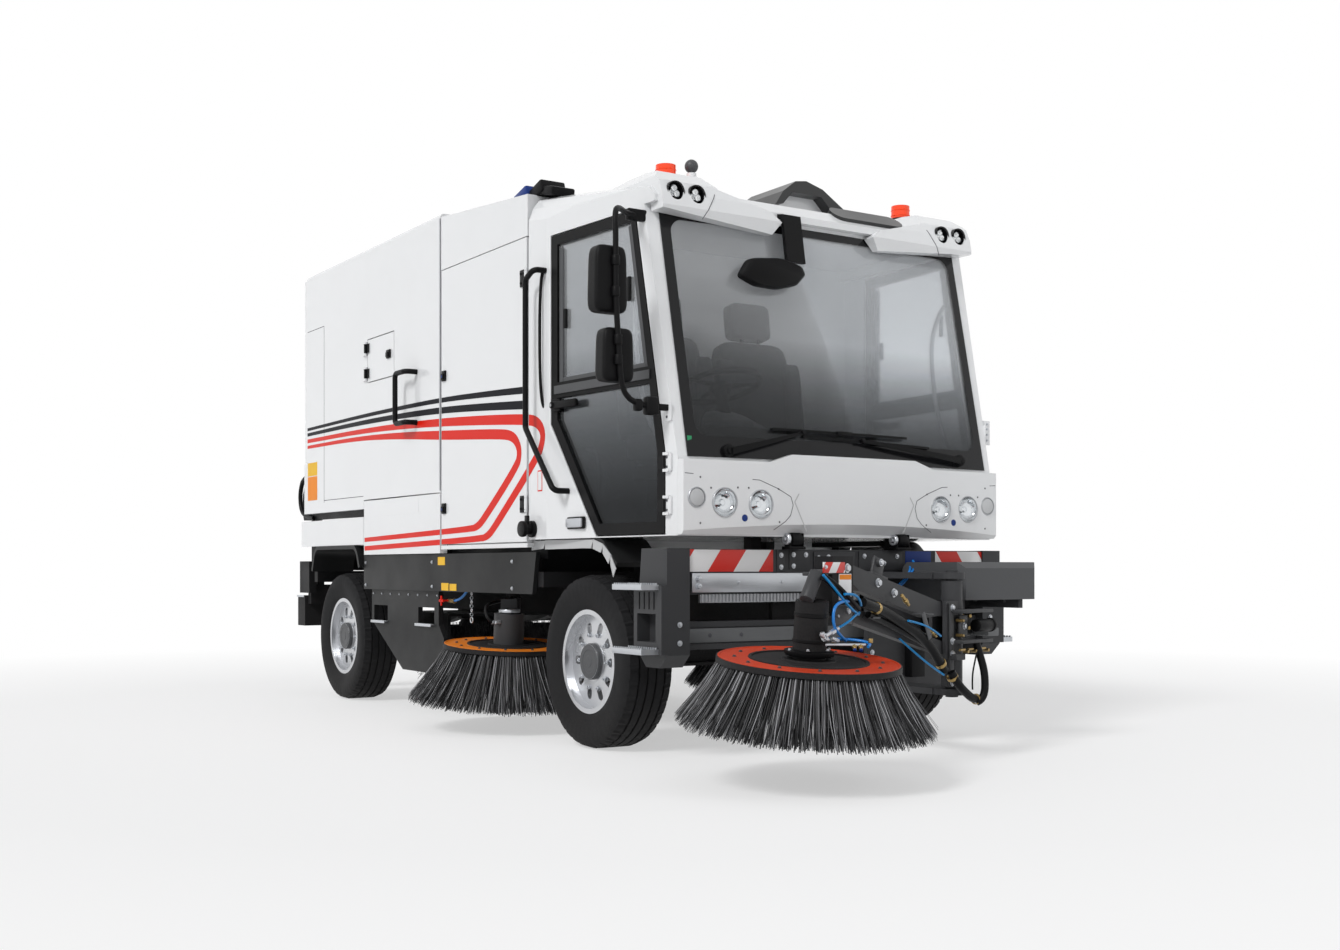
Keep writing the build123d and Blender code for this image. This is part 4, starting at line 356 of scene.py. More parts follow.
NODE_MATERIALS = {
    WHITE: "hopper tailgate hopper_hatch mid_body service_door_right service_door_left cab_body cab_roof "
           "front_panel lower_panels",
    SKIRT: "side_guards fenders broom_housing",
    DARK: "front_beam upper_link lower_link swing_post arm_base side_arm_right side_arm_left",
    MID_GREY: "arm_cover",
    BONNET: "roof_unit",
    CHASSIS: "chassis_frame body_bearers front_axle rear_axle leaf_springs knuckle_right knuckle_left "
             "rear_bumper tow_jaw arm_posts brush_head",
    ALLOY: "rim_front_right rim_front_left rim_rear_right rim_rear_left",
    SCREEN: "windshield",
    DOOR_GLASS: "door_glass_right door_glass_left",
    PLASTIC: "cab_door_right cab_door_left mirrors grab_bars hopper_frame",
    STEEL: "step_treads",
    CHROME: "lamps",
    BEACON: "beacons",
    CAST: "engine",
    TRIM: "dashboard",
}
for material, names in NODE_MATERIALS.items():
    for name in names.split():
        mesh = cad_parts[name].data
        mesh.materials.clear()
        mesh.materials.append(material)
USUAL_SLOTS = {     # the record's slot for a new piece of this material; black_plastic where none is named
    "zinc": (STEEL, BRASS, CAST, SILVER),
    "dark_paint": (DARK, MID_GREY, DULL_SHEET),
    "white_paint": (WHITE, RED, BLACK_FILM, ORANGE_FILM, YELLOW_FILM, WARNING, WARNING_SMALL, LEAF_GREEN),
    "lens": (MIRRORED, LENS, MILKY),
    "bristle": (BRISTLE, BRUSH_RED, BRUSH_ORANGE),
    "seat_cloth": (FABRIC,),
    "beacon": (BEACON,),
    "tyre": (RUBBER,),
}
SLOTS = {material: slot for slot, materials in USUAL_SLOTS.items() for material in materials}


# ---------------------------------------------------------------- mesh helpers
def settle(piece, material, body="chassis", slot=None, replaced=()):
    """Give a new piece its material and its body."""
    piece.data.materials.append(material)
    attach(piece, body)
    slot = slot or SLOTS.get(material, "black_plastic")
    if replaced:
        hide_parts(*replaced)
    return piece


def linked(name, data):
    piece = bpy.data.objects.new(name, data)
    bpy.context.scene.collection.objects.link(piece)
    return piece


def mesh_object(name, shape, sharp=35):
    mesh = bpy.data.meshes.new(name)
    shape.to_mesh(mesh)
    shape.free()
    mesh.shade_smooth()
    mesh.set_sharp_from_angle(angle=math.radians(sharp))
    return linked(name, mesh)


def part(name, material, *steps, body="chassis", slot=None, replaced=(), sharp=35):
    """One piece of the scene, made by steps such as box(...), rod(...) and lathe(...)."""
    shape = bmesh.new()
    for make in steps:
        make(shape)
    return settle(mesh_object(name, shape, sharp), material, body, slot, replaced)


def step(function):
    """Let a function on a shape be called with its values first and the shape later, by part()."""
    return lambda *values, **named: lambda shape: function(shape, *values, **named)


def add_box(shape, low, high, soften=0.004, turn=None):
    """Rounded box from corner to corner; turn is (degrees, axis letter) about its middle."""
    low, high = Vector(low), Vector(high)
    low, high = Vector(map(min, low, high)), Vector(map(max, low, high))
    size = high - low
    matrix = Matrix.Translation((low + high) / 2)
    if turn:
        matrix = matrix @ Matrix.Rotation(math.radians(turn[0]), 4, turn[1])
    made = bmesh.ops.create_cube(shape, size=1, matrix=matrix @ Matrix.Diagonal((*size, 1)))
    if soften:
        edges = list({edge for vert in made["verts"] for edge in vert.link_edges})
        bmesh.ops.bevel(shape, geom=edges, offset=min(soften, min(size) * 0.45), segments=2, profile=0.5,
                        affect="EDGES")


def axis_matrix(centre, axis):
    return Matrix.Translation(centre) @ Vector(axis).to_track_quat("Z", "Y").to_matrix().to_4x4()


def add_rod(shape, centre, axis, radius, depth, tip=None, sides=24, soften=0.0):
    """Cylinder or cone about an axis, starting at centre."""
    matrix = axis_matrix(centre, axis) @ Matrix.Translation((0, 0, depth / 2))
    made = bmesh.ops.create_cone(shape, cap_ends=True, segments=sides, radius1=radius,
                                 radius2=radius if tip is None else tip, depth=depth, matrix=matrix)
    if soften:
        rims = [edge for vert in made["verts"] for edge in vert.link_edges
                if len(edge.link_faces) == 2 and abs(edge.calc_face_angle(0)) > 1]
        bmesh.ops.bevel(shape, geom=list(set(rims)), offset=soften, segments=2, profile=0.5, affect="EDGES")


def wall(shape, here, there, closed=False):
    """Faces between two rows of as many vertices."""
    count = len(here)
    for i in range(count if closed else count - 1):
        j = (i + 1) % count
        shape.faces.new((here[i], there[i], there[j], here[j]))


def add_lathe(shape, centre, axis, profile, steps=64):
    """Revolve (radius, height) points about an axis."""
    matrix = axis_matrix(centre, axis)
    rings = []
    for turn in range(steps):
        angle = 2 * math.pi * turn / steps
        rings.append([shape.verts.new(matrix @ Vector((r * math.cos(angle), r * math.sin(angle), h)))
                      for r, h in profile])
    for here, there in zip(rings, rings[1:] + rings[:1]):
        wall(shape, here, there)


def add_prism(shape, rows):
    """Close the space between two equal outlines of points."""
    first, last = [[shape.verts.new(point) for point in row] for row in rows]
    shape.faces.new(first)
    shape.faces.new(last[::-1])
    wall(shape, first, last, True)
    bmesh.ops.recalc_face_normals(shape, faces=shape.faces)


def add_plate(shape, outline, side, out, thick=0.001):
    """Flat plate: (x, z) outline on a body side, its outer face at y = side * out."""
    add_prism(shape, [[(x, side * y, z) for x, z in outline] for y in (out, out - thick)])


def add_label(shape, low, high, side, out=HALF_WIDTH + 0.001):
    """Thin rectangle between two (x, z) corners on a body side."""
    (x0, z0), (x1, z1) = low, high
    add_plate(shape, [(x0, z0), (x1, z0), (x1, z1), (x0, z1)], side, out)


box, rod, lathe, plate, label = map(step, (add_box, add_rod, add_lathe, add_plate, add_label))


def tube(name, points, radius, body="chassis", material=PLASTIC, order=3):
    """Round pipe or hose along a smooth line."""
    curve = bpy.data.curves.new(name, "CURVE")
    curve.dimensions = "3D"
    curve.bevel_depth = radius
    curve.bevel_resolution = 4
    curve.use_fill_caps = True
    line = curve.splines.new("NURBS")
    line.points.add(len(points) - 1)
    for point, place in zip(line.points, points):
        point.co = (*place, 1)
    line.order_u = order
    line.use_endpoint_u = True
    line.resolution_u = 8
    return settle(linked(name, curve), material, body, "black_plastic")


def side_y(x, side, out=SKIN):
    """Y of the painted side at x."""
    return side * (HALF_WIDTH - max(0.0, x - TAPER_X) * TAPER + out)


def on_side(x, z, side, out=0.0):
    return Vector((x, side_y(x, side, out), z))


def bolts(name, places, radius=0.009, height=0.006, material=STEEL, body="chassis", slot="zinc"):
    """Hexagon heads with washers: (point, outward direction)."""
    shape = bmesh.new()
    for point, out in places:
        add_rod(shape, point, out, radius * 1.35, height * 0.25, sides=16)
        add_rod(shape, Vector(point) + Vector(out) * height * 0.25, out, radius, height, sides=6,
                soften=radius * 0.12)
    return settle(mesh_object(name, shape), material, body, slot)


def bolts_at(name, x, places, *values, **named):
    """Bolts that face forward at x, at (y, z) places."""
    return bolts(name, [((x, y, z), FORWARD) for y, z in places], *values, **named)


# ---------------------------------------------------------------- wheels
TREAD_STEPS = 216
TREAD_BLOCK = 6                 # steps from one cross cut to the next
TREAD_R = 0.4325
GROOVE = 0.010
GROOVE_HALF = 0.006
SIDE_WALL, TREAD, GROOVE_FLOOR = range(3)
WALL_POINTS = [(0.249, 0.100), (0.262, 0.112), (0.300, 0.122), (0.345, 0.1305), (0.380, 0.1315),
               (0.405, 0.127)]
SHOULDER = (0.420, 0.118)
NUT_CIRCLE = 0.1375


def tyre_profile():
    """(radius, offset outward, kind of surface) over the tyre."""
    points = [(r, -y, SIDE_WALL) for r, y in WALL_POINTS] + [(SHOULDER[0], -SHOULDER[1], TREAD)]
    for middle in (-0.072, -0.024, 0.024, 0.072):
        low, high = middle - GROOVE_HALF, middle + GROOVE_HALF
        points += [(TREAD_R, low - 0.004, TREAD), (TREAD_R, low, TREAD),
                   (TREAD_R - GROOVE, low + 0.002, GROOVE_FLOOR),
                   (TREAD_R - GROOVE, high - 0.002, GROOVE_FLOOR), (TREAD_R, high, TREAD)]
    return points + [(*SHOULDER, TREAD)] + [(r, y, SIDE_WALL) for r, y in reversed(WALL_POINTS)]


def add_tyre(shape, x, side):
    rings = []
    for turn in range(TREAD_STEPS):
        angle = 2 * math.pi * turn / TREAD_STEPS
        ring = []
        for radius, offset, kind in tyre_profile():
            row = int((offset + 0.2) / 0.048)
            cut = (turn + 2 * row) % TREAD_BLOCK == 0
            if kind == TREAD and cut and abs(offset) > 0.02:
                radius -= GROOVE * (0.75 if abs(offset) > 0.07 else 0.4)
            if kind == SIDE_WALL and 0.37 < radius < 0.40:
                offset += math.copysign(0.0025 if turn % 4 < 2 else -0.001, offset)
            ring.append(shape.verts.new((x + radius * math.sin(angle), side * (WHEEL_Y + offset),
                                         AXLE_Z + radius * math.cos(angle))))
        rings.append(ring)
    for here, there in zip(rings, rings[1:] + rings[:1]):
        wall(shape, here, there, True)
    bmesh.ops.recalc_face_normals(shape, faces=shape.faces)


def wheel(label, x, side):
    own = {"body": "wheel_" + label, "slot": "rim_alloy"}
    axis = (0, side, 0)
    centre = (x, side * WHEEL_Y, AXLE_Z)
    part("tread_" + label, RUBBER, step(add_tyre)(x, side), body=own["body"], replaced=["tyre_" + label],
         sharp=28)
    nuts = []
    for number in range(10):
        angle = 2 * math.pi * (number + 0.5) / 10
        spot = (x + NUT_CIRCLE * math.sin(angle), side * (WHEEL_Y + 0.062),
                AXLE_Z + NUT_CIRCLE * math.cos(angle))
        nuts += [rod(spot, axis, 0.014, 0.004, sides=18),
                 rod(spot, axis, 0.0125, 0.022, sides=6, soften=0.0015),
                 rod(spot, axis, 0.006, 0.030, sides=12)]
    part("nuts_" + label, STEEL, *nuts, **own)
    part("hub_cap_" + label, MID_GREY, lathe(centre, axis, [
        (0.091, 0.064), (0.091, 0.098), (0.085, 0.1055), (0.060, 0.1065), (0.056, 0.1045), (0.030, 0.1045),
        (0.027, 0.1065), (0.0, 0.1065)]), sharp=25, **own)
    part("rim_lip_" + label, CHROME, lathe(centre, axis, [
        (0.252, 0.098), (0.2615, 0.100), (0.2625, 0.106), (0.2575, 0.108), (0.247, 0.104), (0.240, 0.094),
        (0.2385, 0.070)], 96), sharp=40, **own)


for axle, axle_x in (("front", FRONT_AXLE_X), ("rear", REAR_AXLE_X)):
    for name, side in SIDES.items():
        wheel(f"{axle}_{name}", axle_x, side)


# ---------------------------------------------------------------- brushes
TUFTS = 72
STRANDS = 4200
DISC_FOOT = -0.024              # the disc's underside, below its middle
FRONT_BRUSH = (2.660, -0.900, 0.520)
FRONT_TILT = 5.6
SIDE_BRUSH_X, SIDE_BRUSH_Y, SIDE_BRUSH_Z = -0.020, 0.930, 0.470
SIDE_TILT = 4.0


def tilted(degrees):
    """A brush's spindle: upright, leaning forward."""
    return (math.sin(math.radians(degrees)), 0, math.cos(math.radians(degrees)))


def three_sided(faces, base, parts):
    """Faces of a strand whose cross-sections are triangles."""
    for part_index in range(parts):
        low, high = base + part_index * 3, base + part_index * 3 + 3
        faces += [(low + i, low + (i + 1) % 3, high + (i + 1) % 3, high + i) for i in range(3)]


def bristle_skirt(name, centre, tilt, inner, disc, spread, drop, body):
    """Stiff strands from the disc's underside, spreading down and out in tufts."""
    chance = random.Random(len(name) * 31)
    matrix = Matrix.Translation(centre) @ Matrix.Rotation(math.radians(tilt), 4, "Y")
    verts, faces = [], []
    for _ in range(STRANDS):
        tuft = chance.randrange(TUFTS)
        angle = 2 * math.pi * (tuft + chance.gauss(0.5, 0.30)) / TUFTS
        share = chance.random() ** 0.6
        root_r = inner + (disc - inner) * share
        tip_r = min(root_r + (spread - disc) * (0.62 + 0.38 * share) + chance.gauss(0, 0.007), spread)
        fall = drop * (0.925 + 0.06 * chance.random()) - 0.03 * chance.random() ** 4
        swirl = chance.gauss(0, 0.022)
        width = 0.0023 + 0.0008 * chance.random()
        base = len(verts)
        for level in range(4):
            t = level / 3
            r = root_r + (tip_r - root_r) * t ** 1.12
            a = angle + swirl * t * t
            w = width * (1 - 0.35 * t)
            middle = Vector((r * math.cos(a), r * math.sin(a), DISC_FOOT - (fall + DISC_FOOT) * t))
            across = Vector((-math.sin(a), math.cos(a), 0)) * w
            out = Vector((math.cos(a), math.sin(a), 0.3)) * w * 0.7
            verts += [matrix @ (middle + across), matrix @ (middle - across), matrix @ (middle + out)]
        three_sided(faces, base, 3)
        faces.append((base + 9, base + 10, base + 11))
    mesh = bpy.data.meshes.new(name)
    mesh.from_pydata([tuple(v) for v in verts], [], faces)
    mesh.shade_smooth()
    piece = settle(linked(name, mesh), BRISTLE, body)
    for tone in BRISTLE_TONES:
        mesh.materials.append(tone)
    tone_index = 0
    for number, face in enumerate(mesh.polygons):
        if number % 10 == 0:                    # ten faces a strand
            tone_index = chance.choice((0, 0, 0, 1, 1, 2))
        face.material_index = tone_index
    return piece


def round_brush(label, centre, tilt, disc, spread, drop, ring):
    """A brush with the same name as its node and body."""
    axis = tilted(tilt)
    part(label + "_ring", ring, lathe(centre, axis, [
        (disc - 0.135, 0.0005), (disc - 0.018, 0.0005), (disc - 0.014, 0.004), (disc - 0.008, 0.004),
        (disc - 0.004, 0.0), (disc - 0.004, -0.022), (disc - 0.135, DISC_FOOT), (disc - 0.135, 0.0005)], 96),
        body=label, replaced=[label])
    part(label + "_hub", CHASSIS, lathe(centre, axis, [
        (disc - 0.006, 0.002), (disc, 0.001), (disc + 0.001, -0.022), (disc - 0.01, -0.028),
        (disc - 0.13, -0.028)], 96), lathe(centre, axis, [
            (0.0, 0.006), (0.11, 0.006), (0.115, 0.001), (disc - 0.150, 0.001), (disc - 0.148, 0.006),
            (disc - 0.135, 0.006), (disc - 0.132, 0.0), (disc - 0.132, -0.025), (0.0, -0.025)], 96),
        rod(centre, axis, 0.020, 0.058), body=label, slot="bristle")
    sideways = Vector(axis).cross(Vector((0, 1, 0))).normalized()
    heads = [(Vector(centre) + Matrix.Rotation(2 * math.pi * number / 12, 3, Vector(axis)) @ sideways
              * (disc - 0.075), axis) for number in range(12)]
    bolts(label + "_bolts", heads, 0.007, material=CAST, body=label)
    bristle_skirt(label + "_bristles", centre, tilt, disc - 0.125, disc - 0.006, spread, drop - 0.03, label)


round_brush("front_brush", FRONT_BRUSH, FRONT_TILT, 0.385, 0.545, 0.320, BRUSH_RED)
for name, side in SIDES.items():
    round_brush("side_brush_" + name, (SIDE_BRUSH_X, side * SIDE_BRUSH_Y, SIDE_BRUSH_Z), SIDE_TILT,
                0.365, 0.550, 0.360, BRUSH_ORANGE)

BROOM_X, BROOM_Z = -1.290, 0.300
BROOM_ROWS = 14
BROOM_STRANDS = 5200
BROOM_ROOT, BROOM_TIP = 0.10, 0.262


def cross_broom():
    chance = random.Random(5)
    verts, faces = [], []
    for strand in range(BROOM_STRANDS):
        row = strand % BROOM_ROWS
        y = -0.845 + 1.69 * chance.random()
        angle = 2 * math.pi * (row + 0.16 * chance.gauss(0, 1)) / BROOM_ROWS + y * 1.6
        tip = BROOM_TIP - 0.012 * chance.random()
        lean = chance.gauss(0, 0.035)
        base = len(verts)
        for level in range(3):
            t = level / 2
            r = BROOM_ROOT + (tip - BROOM_ROOT) * t
            a = angle + lean * t
            w = 0.0022 * (1 - 0.4 * t)
            x, z = BROOM_X + r * math.cos(a), BROOM_Z + r * math.sin(a)
            dx, dz = w * math.sin(a), w * math.cos(a)
            verts += [(x - dx, y, z + dz), (x + dx, y, z - dz), (x, y + w, z)]
        three_sided(faces, base, 2)
    mesh = bpy.data.meshes.new("broom_bristles")
    mesh.from_pydata(verts, [], faces)
    settle(linked("broom_bristles", mesh), BRISTLE, "main_broom", replaced=["main_broom"])
    part("broom_core", CHASSIS,
         rod((BROOM_X, -0.850, BROOM_Z), (0, 1, 0), 0.105, 1.70, sides=48, soften=0.004),
         rod((BROOM_X, -0.922, BROOM_Z), (0, 1, 0), 0.025, 1.844, sides=32), body="main_broom",
         slot="bristle")


cross_broom()


# ---------------------------------------------------------------- film stripes on the sides
FILM = {   # name: material, (x, z, half width) along the middle line
    "black_high": (BLACK_FILM, [
        (-2.985, 1.898, 0.0105), (-1.93, 1.906, 0.0120), (-1.2, 1.902, 0.0130), (-0.57, 1.893, 0.0145),
        (0.0, 1.869, 0.0165), (0.489, 1.844, 0.0190)]),
    "black_low": (BLACK_FILM, [
        (-2.985, 1.861, 0.0116), (-1.93, 1.864, 0.0150), (-1.2, 1.852, 0.0170), (-0.57, 1.832, 0.0190),
        (0.0, 1.799, 0.0210), (0.489, 1.765, 0.0232)]),
    "red_high": (RED, [
        (-2.985, 1.815, 0.0135), (-1.93, 1.808, 0.0155), (-1.2, 1.788, 0.0195), (-0.57, 1.760, 0.0240),
        (0.0, 1.725, 0.0270), (0.519, 1.686, 0.0290), (0.620, 1.660, 0.0285), (0.672, 1.610, 0.0275),
        (0.668, 1.555, 0.0270), (0.625, 1.490, 0.0270), (0.100, 1.118, 0.0270), (0.02, 1.078, 0.0220),
        (-0.06, 1.064, 0.0170), (-1.815, 1.030, 0.0150)]),
    "red_low": (RED, [
        (-2.985, 1.772, 0.0109), (-1.93, 1.764, 0.0140), (-1.2, 1.728, 0.0215), (-0.57, 1.683, 0.0277),
        (0.185, 1.634, 0.0280), (0.330, 1.612, 0.0275), (0.395, 1.560, 0.0270), (0.408, 1.505, 0.0270),
        (0.380, 1.448, 0.0270), (-0.030, 1.170, 0.0270), (-0.11, 1.134, 0.0220), (-0.19, 1.122, 0.0170),
        (-1.815, 1.086, 0.0140)]),
}
PANELS = [   # body, lowest x, highest x, lowest z, highest z
    ("hopper", -2.922, -0.6125, 1.352, 3.0), ("service_door_{}", -0.5935, 0.4895, 1.0405, 3.0),
    ("chassis", 0.5155, 0.7495, 1.00, 3.0), ("chassis", -1.8255, -0.6165, 0.989, 1.341)]


def smooth_line(points, rounds=2):
    """Chaikin smoothing of (x, z, half width) points, ends kept."""
    for _ in range(rounds):
        inner = [tuple(p * near + q * (1 - near) for p, q in zip(a, b))
                 for a, b in zip(points, points[1:]) for near in (0.75, 0.25)]
        points = [points[0], *inner, points[-1]]
    return points


def film(name, material, points, side, body, low_x, high_x, low_z, high_z):
    """The part of a stripe that lies on one panel, if any."""
    points = smooth_line(points)
    shape = bmesh.new()
    rails = []
    for i, (x, z, half) in enumerate(points):
        before, after = points[max(0, i - 1)], points[min(len(points) - 1, i + 1)]
        along = Vector((after[0] - before[0], after[1] - before[1])).normalized()
        across = Vector((-along.y, along.x)) * half
        rails.append([shape.verts.new((x + s * across.x, 0, z + s * across.y)) for s in (-1, 1)])
    for a, b in zip(rails, rails[1:]):
        wall(shape, a, b)
    for place, out in (((low_x, 0, 0), BACKWARD), ((high_x, 0, 0), FORWARD),
                       ((0, 0, low_z), (0, 0, -1)), ((0, 0, high_z), (0, 0, 1))):
        bmesh.ops.bisect_plane(shape, geom=shape.verts[:] + shape.edges[:] + shape.faces[:],
                               plane_co=place, plane_no=out, clear_outer=True)
    if not shape.faces:
        shape.free()
        return
    for vert in shape.verts:
        vert.co.y = side_y(vert.co.x, side)
    for face in shape.faces:
        if face.normal.y * side < 0:
            face.normal_flip()
    settle(mesh_object(name, shape), material, body.format("right" if side < 0 else "left"))


for side_name, side in SIDES.items():
    for film_name, (material, points) in FILM.items():
        for index, panel in enumerate(PANELS):
            film(f"film_{film_name}_{index}_{side_name}", material, points, side, *panel)


# ---------------------------------------------------------------- body side details
def add_seams(shape, lines, side, half=0.002):
    """Thin dark joints between sheets: ((x, z), (x, z)) runs along x or z."""
    for (x0, z0), (x1, z1) in lines:
        add_box(shape, (min(x0, x1) - half, side * (HALF_WIDTH - 0.002), min(z0, z1) - half),
                (max(x0, x1) + half, side * (HALF_WIDTH + 0.0006), max(z0, z1) + half), 0)


def add_side_box(shape, side, x0, x1, z0, z1, low, high, soften=0.004):
    """Box on the flat side: from low to high outside the paint."""
    add_box(shape, (x0, side * (HALF_WIDTH + low), z0), (x1, side * (HALF_WIDTH + high), z1), soften)


def add_latch(shape, x, z, side, w=0.05, h=0.062):
    add_side_box(shape, side, x - w / 2, x + w / 2, z - h / 2, z + h / 2, 0.0, 0.012)
    add_side_box(shape, side, x - w * 0.32, x + w * 0.32, z - h * 0.36, z + h * 0.20, 0.010, 0.020, 0.003)


seams, side_box, latch = map(step, (add_seams, add_side_box, add_latch))
LATCH_X, LATCH_LEVELS = -0.55, (2.03, 1.25)
HINGE_LEVELS = (2.44, 1.24)
MARKER_X = 0.99
FILLER_X, FILLER_Z = 0.565, 1.105


def side_details(name, side):
    out = (0, side, 0)
    door = "service_door_" + name
    part("hopper_seams_" + name, SEAM, seams([((-2.58, 1.36), (-2.58, 2.59)), ((-2.92, 2.60), (-2.58, 2.60)),
                                              ((-2.58, 1.375), (-1.84, 1.375))], side), body="hopper")
    part("hopper_strip_" + name, SILVER, side_box(side, -0.611, -0.624, 1.36, 2.97, -0.004, 0.003, 0.002),
         body="hopper")
    part("hopper_sticker_" + name, ORANGE_FILM, label((-2.915, 1.385), (-2.72, 1.555), side), body="hopper")
    part("hopper_notice_" + name, YELLOW_FILM, label((-2.915, 1.560), (-2.72, 1.655), side), body="hopper")
    tube("rear_handle_" + name, [(x, side * 1.040, z) for x, z in (
        (-2.900, 1.592), (-3.120, 1.565), (-3.185, 1.480), (-3.195, 1.410), (-3.170, 1.330), (-3.090, 1.280),
        (-2.900, 1.262))], 0.016, "hopper")
    part("service_latches_" + name, PLASTIC, *[latch(LATCH_X, z, side) for z in LATCH_LEVELS], body=door)
    part("latch_dots_" + name, BLUE,
         *[rod((LATCH_X, side * (HALF_WIDTH + 0.0195), z - 0.005), out, 0.008, 0.002)
                                       for z in LATCH_LEVELS], body=door)
    part("service_hinges_" + name, PLASTIC,
         *[side_box(side, 0.425, 0.484, z - 0.045, z + 0.045, 0.0, 0.009, 0.003)
                                              for z in HINGE_LEVELS], body=door)
    bolts("service_hinge_bolts_" + name,
          [((x, side * (HALF_WIDTH + 0.009), z + dz), out) for z in HINGE_LEVELS
                                          for x in (0.44, 0.468) for dz in (-0.025, 0.025)],
          0.006, 0.004, PLASTIC, door)
    # marker lamp and filler coupling with its cap
    for piece, material, slot, half, low, high, z0, z1, soften in (
            ("marker_base_", PLASTIC, None, 0.085, -0.002, 0.012, 1.096, 1.158, 0.006),
            ("marker_lens_", STEEL, "lens", 0.078, 0.008, 0.026, 1.104, 1.150, 0.008)):
        part(piece + name, material, box((MARKER_X - half, side_y(MARKER_X, side, low), z0),
                                         (MARKER_X + half, side_y(MARKER_X, side, high), z1), soften),
             slot=slot)
    centre = (FILLER_X, side * (HALF_WIDTH - 0.002), FILLER_Z)
    part("filler_" + name, PLASTIC, rod(centre, out, 0.044, 0.022, soften=0.003),
         rod(centre, out, 0.030, 0.060, soften=0.003),
         rod((FILLER_X, side * (HALF_WIDTH + 0.050), FILLER_Z), out, 0.042, 0.026, soften=0.005),
         side_box(side, 0.548, 0.582, 1.120, 1.176, 0.030, 0.044, 0.003),
         side_box(side, 0.490, 0.535, 1.080, 1.115, 0.004, 0.030))


def right_side_details():
    """What only the right side has: a hand rail, blank signs and the hatch's fittings."""
    right = SIDES["right"]
    tube("grab_bar_inner", [(0.677, side_y(0.677, right, out), z) for out, z in (
        (-0.004, 2.455), (0.022, 2.440), (0.022, 1.760), (-0.004, 1.735))], 0.008)
    part("sign_border", RED, label((0.615, 1.30), (0.665, 1.41), right))
    part("sign_face", WHITE, label((0.621, 1.307), (0.659, 1.403), right, HALF_WIDTH + 0.0018))
    part("plate_blank", WHITE, label((-1.80, 1.235), (-0.93, 1.325), right))
    hinges = []
    for z in (2.175, 2.340):
        hinges += [rod((-1.772, -1.0905, z - 0.0295), UP, 0.0112, 0.059),
                   box((-1.766, -1.0840, z - 0.0305), (-1.719, -1.0875, z + 0.0305), 0.001)]
    part("hatch_latch", PLASTIC, *hinges, latch(-1.395, 2.262, right, 0.060, 0.055), body="hatch")


for side_name, side in SIDES.items():
    side_details(side_name, side)
right_side_details()


# ---------------------------------------------------------------- front of the cab
FRONT_R = 12.27125
FRONT_X = 1.850
PANEL = 0.048                   # from the cab's front to the panel's face
SCREEN_LEAN = 0.2110
SCREEN_FOOT_Z = 1.415


def front_x(y, out=0.0):
    return FRONT_X - FRONT_R + math.sqrt(FRONT_R ** 2 - y * y) + out


def on_screen(y, z, out=0.0):
    """Point outside the windscreen's outer face."""
    return Vector((front_x(y, 0.009) - SCREEN_LEAN * (z - SCREEN_FOOT_Z) + out, y, z))


def strip(a, b, half):
    """Corners of a straight strip between two flat points."""
    run = Vector((b[0] - a[0], b[1] - a[1])).normalized()
    across = Vector((-run.y, run.x)) * half
    return [(a[0] - across.x, a[1] - across.y), (b[0] - across.x, b[1] - across.y),
            (b[0] + across.x, b[1] + across.y), (a[0] + across.x, a[1] + across.y)]


def add_front_line(shape, points, half):
    """Narrow line through (y, z) points on the front panel, on both sides of the cab."""
    for side in SIDES.values():
        for a, b in zip(points, points[1:]):
            face = shape.faces.new([shape.verts.new((front_x(y, PANEL + 0.0006), side * y, z))
                                    for y, z in strip(a, b, half)])
            face.normal_update()
            if face.normal.x < 0:
                face.normal_flip()


HEADLAMPS = [(0.570, 1.200, 0.070), (0.770, 1.205, 0.070)]
INDICATOR = (0.920, 1.225, 0.048)
VISOR_LAMPS = [(0.905, 2.672), (0.785, 2.668)]
VISOR_X = 1.612


